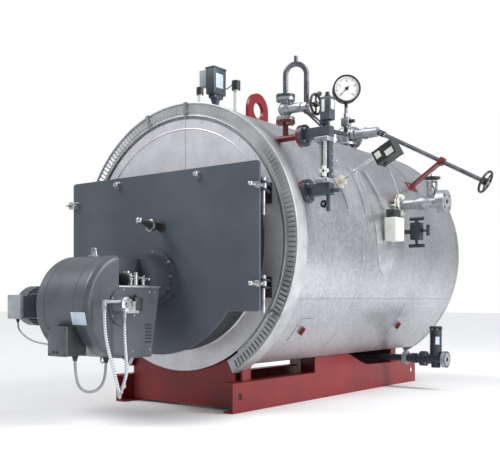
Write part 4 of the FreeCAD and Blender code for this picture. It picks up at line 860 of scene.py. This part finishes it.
piece("bracket_bolts", base_bolts, zinc_steel)

# Instrument branch: red pipe and flanges, silver stop valve, dark inverted U pipe.
formed("branch_flange_bolts", zinc_steel, (bolts, at(752.2, 150, 1457), (1, 0, 0), 85, 4, 14),
    (bolts, at(720, 150, 1457), (-1, 0, 0), 85, 4, 13),
    (bolts, at(623, 150, 1567.5), (0, 0, 1), 75, 4, 12, 32),
    (bolts, at(623, 150, 1687.8), (0, 0, 1), 75, 4, 12, 32),
    (bolts, at(713, 150, 1611.3), (1, 0, 0), 44, 4, 9))
for name, z, mat in (("branch_flange_low", 1534.6, pipe_red),
                     ("branch_flange_top", 1671.4, dark_cast)):
    sleeve(name, at(623, 150, z), (0, 0, 1), [(0, 40), (0, 50.8), (16.4, 50.8), (16.4, 40),
        (0, 40)], mat, steps=48)
sleeve("isolating_gland", at(714, 150, 1611.3), (1, 0, 0),
    [(0, 0), (0, 28), (8, 28), (10, 17), (28, 16), (30, 19), (42, 19), (44, 9), (44, 0)],
    zinc_steel, steps=6)
sleeve("isolating_wheel_nut", at(819.5, 150, 1611.3), (1, 0, 0),
    [(0, 0), (0, 12), (8, 12), (9, 7), (13, 6), (13, 0)], zinc_steel, "isolating_handwheel",
    steps=6)
knob = bmesh.new()
turned(knob, at(811, 150, 1662) + Vector((0.006, 0, 0)), (1, 0, 0),
    [(0, 0), (0, 8), (6, 8), (8, 12), (22, 12), (26, 8), (27, 0)], 20)
olive = coated("olive_moulded_plastic", "666a44", "4a4e2e", 20, 2, 0.45, 0.08)
piece("isolating_wheel_knob", knob, olive, "isolating_handwheel")

# Level gauge: forged body with cover bolts, two bright glass tubes and its cocks.
tube_glass, glass_shader, glass_place = finish("borosilicate_gauge_glass", 0.08)
glass_film = add(tube_glass, "ShaderNodeTexNoise", {"Vector": glass_place, "Scale": 60.0})
glass_bump = add(tube_glass, "ShaderNodeBump", {"Height": glass_film.outputs["Fac"],
    "Strength": 0.1, "Distance": 0.0004})
feed(tube_glass, glass_shader, {"Base Color": linear("e8eef0"), "Transmission Weight": 0.55,
    "IOR": 1.47, "Normal": glass_bump.outputs["Normal"]})
glasses = bmesh.new()
for x, y, r in ((842, 150, 10.6), (884, 119, 9)):
    bar(glasses, at(x, y, 1222), at(x, y, 1406), r, 28)
piece("gauge_glasses", glasses, tube_glass)
gauge_bits = bmesh.new()
for z in (1240, 1275, 1310, 1345, 1380):
    bar(gauge_bits, at(901, 150, z), at(908, 150, z), 6, 6)
    bar(gauge_bits, at(885, 170, z), at(885, 177, z), 6, 6)
for z in (1196, 1408):
    slab(gauge_bits, (826, 106, z), (906, 172, z + 24), 3)
    turned(gauge_bits, at(858, 107, z + 12), (0, -1, 0),
        [(0, 0), (0, 11), (8, 11), (10, 7), (16, 7), (16, 0)], 6)
turned(gauge_bits, at(842, 150, 1208), (0, 0, 1), [(0, 0), (0, 16), (14, 16), (20, 12), (20, 0)],
    6)
turned(gauge_bits, at(842, 150, 1400), (0, 0, 1), [(0, 0), (0, 12), (6, 16), (20, 16), (20, 0)], 6)
piece("gauge_cocks", gauge_bits, silver_cast)
cross = bmesh.new()
for low, high in (((877, 98, 1228), (895, 114, 1280)), ((862, 98, 1245), (910, 114, 1263))):
    slab(cross, low, high, 3)
bar(cross, at(886, 112, 1254), at(886, 131, 1254), 7, 16)
piece("gauge_cross_cock", cross, pale_plastic)
sleeve("gauge_foot_flange", at(741.6, 150, 1165), (1, 0, 0),
    [(0, 30), (0, 62.7), (15, 62.7), (16, 62.2), (16, 30), (0, 30)], pipe_red, steps=48)
formed("gauge_foot_bolts", zinc_steel, (bolts, at(774.8, 150, 1165), (1, 0, 0), 90, 4, 14, 33.4),
    (turned, at(885, 104, 1087), (0, -1, 0), [(0, 0), (0, 8), (4, 8), (4, 0)], 6))
sleeve("gauge_drain_knob", at(885, 116, 1087), (0, -1, 0),
    [(0, 0), (0, 17), (3, 21), (10, 21), (12, 17), (12, 0)], wheel_enamel, steps=12)

# Pressure switch: dark die-cast case with a pale setting window and its cable gland.
formed("pressure_switch_case", dark_cast, (slab, (850.5, 122.5, 1519), (909.5, 177.5, 1637), 4))
formed("pressure_switch_scale", pale_plastic, (slab, (862, 120.8, 1560), (880, 122.8, 1622), 0.6),
    (slab, (909, 134, 1572), (910.6, 166, 1620), 0.6))
sleeve("pressure_switch_gland", at(880, 150, 1636), (0, 0, 1),
    [(0, 0), (0, 16), (10, 16), (12, 11), (26, 11), (28, 7), (28, 0)], moulded_black, steps=24)

# ---- pressure gauge -------------------------------------------------------------------
# 160 mm class dial gauge: black pressed case and bezel, white enamelled dial with black
# marks and numbers, a black pointer and a flat glass.
wear(["dial_gauge"], moulded_black)
LOOK = Vector((0.62, -0.78, 0)).normalized()
dial_at = at(930, 260, 1695)
dial_white = coated("white_enamelled_dial", "f8f8f6", "ecece8", 30, 2, 0.4, 0.03)
print_black = coated("black_printed_mark", "161616", "0a0a0a", 10, 1, 0.5, 0.02)
sleeve("dial_bezel", dial_at, LOOK, [(-3, 63), (-3, 72), (5, 72), (7, 70), (7, 64), (1.2, 62.5),
    (-3, 63)], moulded_black, steps=64)
sleeve("dial_card", dial_at, LOOK, [(0.2, 0), (0.2, 63.5), (1.2, 63.5), (1.2, 0)], dial_white,
    steps=64)
RIGHT = Vector((0, 0, 1)).cross(LOOK)


def on_dial(turn, r, lift):
    """A place on the dial's face at a turn, a radius and a lift off the card."""
    a = math.radians(turn)
    out = RIGHT * math.cos(a) + Vector((0, 0, 1)) * math.sin(a)
    return dial_at + out * r / 1000 + LOOK * lift / 1000


marks = bmesh.new()
for i in range(33):
    turn = 225 - i * 270 / 32
    long = i % 4 == 0
    a = math.radians(turn)
    out = RIGHT * math.cos(a) + Vector((0, 0, 1)) * math.sin(a)
    stand = framed(out, LOOK.cross(out), LOOK, on_dial(turn, 55 - (4 if long else 2), 1.5))
    bmesh.ops.create_cube(marks, size=1,
        matrix=stand @ Matrix.Diagonal((0.011 if long else 0.006,
                                        0.0022 if long else 0.0012, 0.0006, 1)))
turned(marks, dial_at + LOOK * 0.0014, LOOK, [(0, 0), (0, 9), (3, 8), (3, 0)], 24)
stand = framed(RIGHT, LOOK.cross(RIGHT), LOOK, dial_at + LOOK * 0.0028)
stand = stand @ Matrix.Rotation(math.radians(228), 4, "Z")
needle = bmesh.ops.create_cube(marks, size=1, matrix=Matrix.Translation((0.016, 0, 0))
                               @ Matrix.Diagonal((0.066, 0.005, 0.0009, 1)))
for v in needle["verts"]:
    if v.co.x > 0.02:
        v.co.y *= 0.25
bmesh.ops.transform(marks, matrix=stand, verts=needle["verts"])
piece("dial_marks_and_pointer", marks, print_black)
for i in range(0, 9, 2):
    turn = 225 - i * 270 / 8
    words = bpy.data.curves.new("dial_number", "FONT")
    words.body = str(2 * i)
    words.size = 0.015
    words.align_x, words.align_y = "CENTER", "CENTER"
    words.extrude = 0.0002
    text = bpy.data.objects.new("dial_number_" + str(2 * i), words)
    scene.collection.objects.link(text)
    bpy.context.view_layer.update()
    settled = text.evaluated_get(bpy.context.evaluated_depsgraph_get())
    flat = bpy.data.meshes.new_from_object(settled)
    bpy.data.objects.remove(text)
    flat.transform(framed(RIGHT, (0, 0, 1), LOOK, on_dial(turn, 39, 1.5)))
    flat.materials.clear()
    flat.materials.append(print_black)
    number = bpy.data.objects.new("dial_number_" + str(2 * i), flat)
    scene.collection.objects.link(number)
    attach(number, "boiler")
cock = bmesh.new()
foot = dial_at - LOOK * 0.023
turned(cock, foot - Vector((0, 0, 0.155)), (0, 0, 1),
    [(0, 0), (0, 14), (4, 15), (30, 15), (34, 10), (60, 10), (60, 0)], 6)
turned(cock, foot - Vector((0, 0, 0.196)), (0, 0, 1),
    [(0, 0), (0, 12), (3, 13), (14, 13), (16, 10), (16, 0)], 6)
slab(cock, (foot.x * 1000 - 21, foot.y * 1000 + 1038.5 - 19, 1505),
    (foot.x * 1000 + 21, foot.y * 1000 + 1038.5 + 19, 1547), 4)
piece("gauge_cock_body", cock, silver_cast)
sleeve("gauge_link_sleeve", foot - Vector((0, 0, 0.225)), (0, 0, -1),
    [(0, 10.6), (0, 12.2), (6, 12.2), (6, 10.6), (0, 10.6)], zinc_steel)

# ---- level probe, feed valve and side fittings ----------------------------------------
# The inclined probe's black head with pale end panels; feed stop valve with red and
# cream flanges; dark sampling valve with T handles; cream sensor box with a dark lid.
wear(["level_probe"], moulded_black)
PROBE = Vector((math.cos(0.5), 0, math.sin(0.5)))
UP = PROBE.cross(Vector((0, 1, 0)))
probe_foot = on_skin(26.5, 561, SKIN)
# Socket in a warm pale primer over steel: matt, slightly grainy.
pale_socket = coated("pale_primed_steel", "d3cfc5", "b0aba0", 25, 2, 0.5, 0.15)
sleeve("probe_socket", probe_foot - PROBE * 0.012, PROBE,
    [(0, 0), (0, 40), (16, 40), (18, 31), (46.4, 31), (48, 24), (60, 15), (60, 0)], pale_socket,
    steps=8)
sleeve("probe_rod", probe_foot + PROBE * 0.034, PROBE, [(0, 0), (0, 8.4), (232, 8.4), (232, 0)],
    zinc_steel, steps=28)
panels = bmesh.new()
along = Matrix((PROBE, Vector((0, 1, 0)), UP)).transposed().to_4x4()
head_mid = probe_foot + PROBE * 0.327 - UP * 0.027


def head_plate(bm, centre, size):
    """A bevelled plate square to the probe's head."""
    turn = along.to_3x3()
    stand = Matrix.Translation(head_mid + turn @ Vector(centre)) @ turn.to_4x4()
    bmesh.ops.create_cube(bm, size=1, matrix=stand @ Matrix.Diagonal((*size, 1)))


for side in (-1, 1):
    head_plate(panels, (-0.036, side * 0.0465, 0.006), (0.034, 0.002, 0.036))
    head_plate(panels, (0.026, side * 0.0465, -0.015), (0.052, 0.002, 0.032))
soften(panels, panels.edges[:], 0.6)
piece("probe_head_panels", panels, pale_plastic)
rims = bmesh.new()
head_plate(rims, (-0.060, 0, 0), (0.007, 0.097, 0.083))
head_plate(rims, (0.060, 0, 0), (0.007, 0.097, 0.083))
head_plate(rims, (0.0, 0, 0), (0.009, 0.096, 0.082))
head_plate(rims, (0.0, 0, 0.042), (0.08, 0.04, 0.008))
soften(rims, rims.edges[:], 1.5, 2)
piece("probe_head_rims", rims, moulded_black)
LEAD_GLAND = [(0, 0), (0, 11), (7, 11), (9, 8), (18, 7), (19, 4.6), (19, 0)]
probe_gland = bmesh.new()
lead_out = probe_foot + PROBE * 0.292 - UP * 0.0655
turned(probe_gland, lead_out, -UP, LEAD_GLAND, 20)
turned(probe_gland, at(850, 1004, 1139), (0, 0, 1), LEAD_GLAND, 20)
piece("probe_lead_glands", probe_gland, moulded_black)

sleeve("feed_flange_red", at(751.5, 1200, 1190), (1, 0, 0),
    [(0, 30), (0, 62.7), (16.6, 62.7), (16.6, 30), (0, 30)], pipe_red, steps=48)
sleeve("feed_flange_cream", at(768.6, 1200, 1190), (1, 0, 0),
    [(0, 33), (0, 66.8), (18, 66.8), (18, 33), (0, 33)], pale_plastic, steps=48)
sleeve("feed_valve_body", at(800, 1200, 1190), (1, 0, 0),
    [(0, 30), (0, 33), (70, 33.4), (90, 38), (110, 41.5), (126, 42.4), (142, 41.5), (162, 38),
    (182, 33.4), (229, 33), (229, 30), (0, 30)], silver_cast, steps=48)
feed_bolts = bmesh.new()
bolts(feed_bolts, at(786.6, 1200, 1190), (1, 0, 0), 100, 4, 15, 35.4)
bolts(feed_bolts, at(1030, 1200, 1190), (-1, 0, 0), 110, 8, 10)
for x in (959, 1007):
    for y in (1185, 1215):
        bar(feed_bolts, at(x, y, 1228.5), at(x, y, 1235), 5, 6)
turned(feed_bolts, at(983, 1200, 1268), (0, 0, 1), [(0, 0), (0, 15), (10, 15), (12, 9), (26, 9),
    (26, 0)], 6)
piece("feed_valve_bolts", feed_bolts, zinc_steel)
sleeve("feed_wheel_nut", at(983, 1200, 1348), (0, 0, 1),
    [(0, 0), (0, 11), (6, 11), (6, 6), (10, 6), (10, 0)], zinc_steel, "feed_handwheel", steps=6)
sleeve("feed_flange_raised_face", at(1078, 1200, 1190), (1, 0, 0),
    [(-1, 17), (-1, 38), (1.6, 38), (1.6, 17), (-1, 17)], silver_cast, steps=40)

tees = bmesh.new()
for low, high in (((842, 1200, 1098), (930, 1200, 1098)), ((836, 1200, 932), (934, 1200, 932)),
                  ((959, 1200, 991), (959, 1200, 1057))):
    bar(tees, at(*low), at(*high), 11.2, 20)
slab(tees, (854, 1169, 967), (916, 1231, 1073), 7)
turned(tees, at(916, 1200, 1024), (1, 0, 0), [(0, 0), (0, 15), (10, 15), (12, 10), (38, 10),
    (38, 0)], 6)
turned(tees, at(885, 1200, 1071), (0, 0, 1), [(0, 0), (0, 16), (8, 16), (10, 11), (22, 11),
    (22, 0)], 6)
piece("sample_valve_handles", tees, valve_blue)
formed("sensor_box_shell", pale_plastic, (slab, (804.6, 928.6, 950.6), (879.4, 1041.4, 1089.4),
    5))
formed("sensor_box_lid", moulded_black, (slab, (806.6, 943.6, 1087), (863.4, 1026.4, 1140.2), 4))
green_knob = bmesh.new()
turned(green_knob, at(832, 985, 1140), (0, 0, 1), [(0, 0), (0, 13), (22, 13), (28, 9), (30.5, 0)],
     20)
green_moulded = coated("green_moulded_plastic", "4a7850", "345a39", 20, 2, 0.45,
    0.08)
piece("sensor_box_knob", green_knob, green_moulded)
box_screws = []
for y in (938, 1032):
    for z in (960, 1080):
        box_screws.append((at(879.6, y, z), (1, 0, 0)))
rivets("sensor_box_screws", box_screws, 4, zinc_steel)

# ---- blowdown -------------------------------------------------------------------------
# Low line over the right channel with a bolted valve, a spring actuator with a pale
# label and a silver outlet flange.
sleeve("blowdown_first_flange", at(584.6, 1660, 206), (1, 0, 0),
    [(0, 22), (0, 46.7), (24.8, 46.7), (24.8, 22), (0, 22)], silver_cast, steps=40)
sleeve("blowdown_outlet_flange", at(861.6, 1660, 206), (1, 0, 0),
    [(0, 30), (0, 54.6), (26.2, 54.6), (26.2, 44), (27.4, 44), (27.4, 15), (26, 15), (26, 30),
    (0, 30)], silver_cast, steps=40)
formed("blowdown_bolts", zinc_steel, (bolts, at(609.4, 1660, 206), (1, 0, 0), 68, 4, 11, 24.8),
    (bolts, at(745, 1660, 206), (1, 0, 0), 74, 4, 11, 39),
    (bolts, at(810, 1660, 401), (0, 0, 1), 52, 4, 9))
label = bmesh.new()
a0 = facing((0.62, -0.78, 0), at(810, 1660, 330) + Vector((0.62, -0.78, 0)) * 0.0385)
bmesh.ops.create_cube(label, size=1, matrix=a0 @ Matrix.Diagonal((0.026, 0.052, 0.002, 1)))
piece("blowdown_label", label, label_film)
ribs = bmesh.new()
for up in (250, 268, 286, 368, 384):
    turned(ribs, at(810, 1660, up), (0, 0, 1), [(0, 34), (0, 40.5), (6, 40.5), (6, 34), (0, 34)],
        40)
piece("blowdown_actuator_ribs", ribs, valve_blue)

# ---- rear -----------------------------------------------------------------------------
# Flat rear cover with the flue spigot and the cleaning hatch, both dark painted steel.
wear(["flue_spigot", "rear_hatch"], heat_black)
formed("rear_flange_bolts", zinc_steel, (bolts, at(0, 2108.6, 1238), (0, 1, 0), 342, 12, 14),
    (bolts, at(0, 2114.6, 648), (0, 1, 0), 340, 12, 14))
rear_edge = []
for turn in range(-54, 236, 10):
    rear_edge.append((on_skin(turn, 2100.3, 772), (0, 1, 0)))
rivets("rear_cover_rivets", rear_edge, 5, zinc_steel)

# ---- floor and light ------------------------------------------------------------------
# Plain pale floor and even studio light: a wide soft key over the camera's left
# shoulder, a long overhead strip and a low fill.
floor_bm = bmesh.new()
bmesh.ops.create_grid(floor_bm, x_segments=1, y_segments=1, size=30.0,
    matrix=Matrix.Translation((0, 0, -0.0006)))
floor_mesh = bpy.data.meshes.new("floor")
floor_bm.to_mesh(floor_mesh)
floor_bm.free()
floor = bpy.data.objects.new("floor", floor_mesh)
floor_pale = coated("pale_painted_floor", "f4f4f4", "f0f0f0", 900, 30, 0.9, 0.1)
floor_mesh.materials.append(floor_pale)
scene.collection.objects.link(floor)
floor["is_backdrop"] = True

sky = bpy.data.worlds.new("studio")
sky.use_nodes = True
sky.node_tree.nodes["Background"].inputs["Color"].default_value = linear("ffffff")
seen = sky.node_tree.nodes["Background"]
seen.inputs["Strength"].default_value = 1.0
lit = sky.node_tree.nodes.new("ShaderNodeBackground")
lit.inputs["Color"].default_value = linear("f4f6fa")
lit.inputs["Strength"].default_value = 0.5
ray = sky.node_tree.nodes.new("ShaderNodeLightPath")
mixed = sky.node_tree.nodes.new("ShaderNodeMixShader")
sky.node_tree.links.new(ray.outputs["Is Camera Ray"], mixed.inputs[0])
sky.node_tree.links.new(lit.outputs[0], mixed.inputs[1])
sky.node_tree.links.new(seen.outputs[0], mixed.inputs[2])
sky.node_tree.links.new(mixed.outputs[0], sky.node_tree.nodes["World Output"].inputs["Surface"])
scene.world = sky
sun = bpy.data.lights.new("broad_key", "SUN")
sun.energy, sun.angle = 2.1, math.radians(30)
key = bpy.data.objects.new("broad_key", sun)
key.rotation_euler = Vector((0.62, 0.62, -1.0)).to_track_quat("-Z", "Y").to_euler()
scene.collection.objects.link(key)
for name, place, aim, wide, high, power in (
        ("overhead", (3.4, 0.2, 3.7), (0.6, 0.2, 1.0), 0.9, 4.0, 170),
        ("fill", (5.6, 0.3, 1.5), (0.6, 0.2, 0.9), 1.2, 3.6, 90)):
    glow = bpy.data.lights.new(name, "AREA")
    glow.shape = "RECTANGLE"
    glow.size, glow.size_y = wide, high
    glow.energy = power
    lamp = bpy.data.objects.new(name, glow)
    lamp.location = place
    lamp.rotation_euler = (Vector(aim) - Vector(place)).to_track_quat("-Z", "Y").to_euler()
    scene.collection.objects.link(lamp)
scene.view_settings.view_transform = "Standard"

low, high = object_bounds()
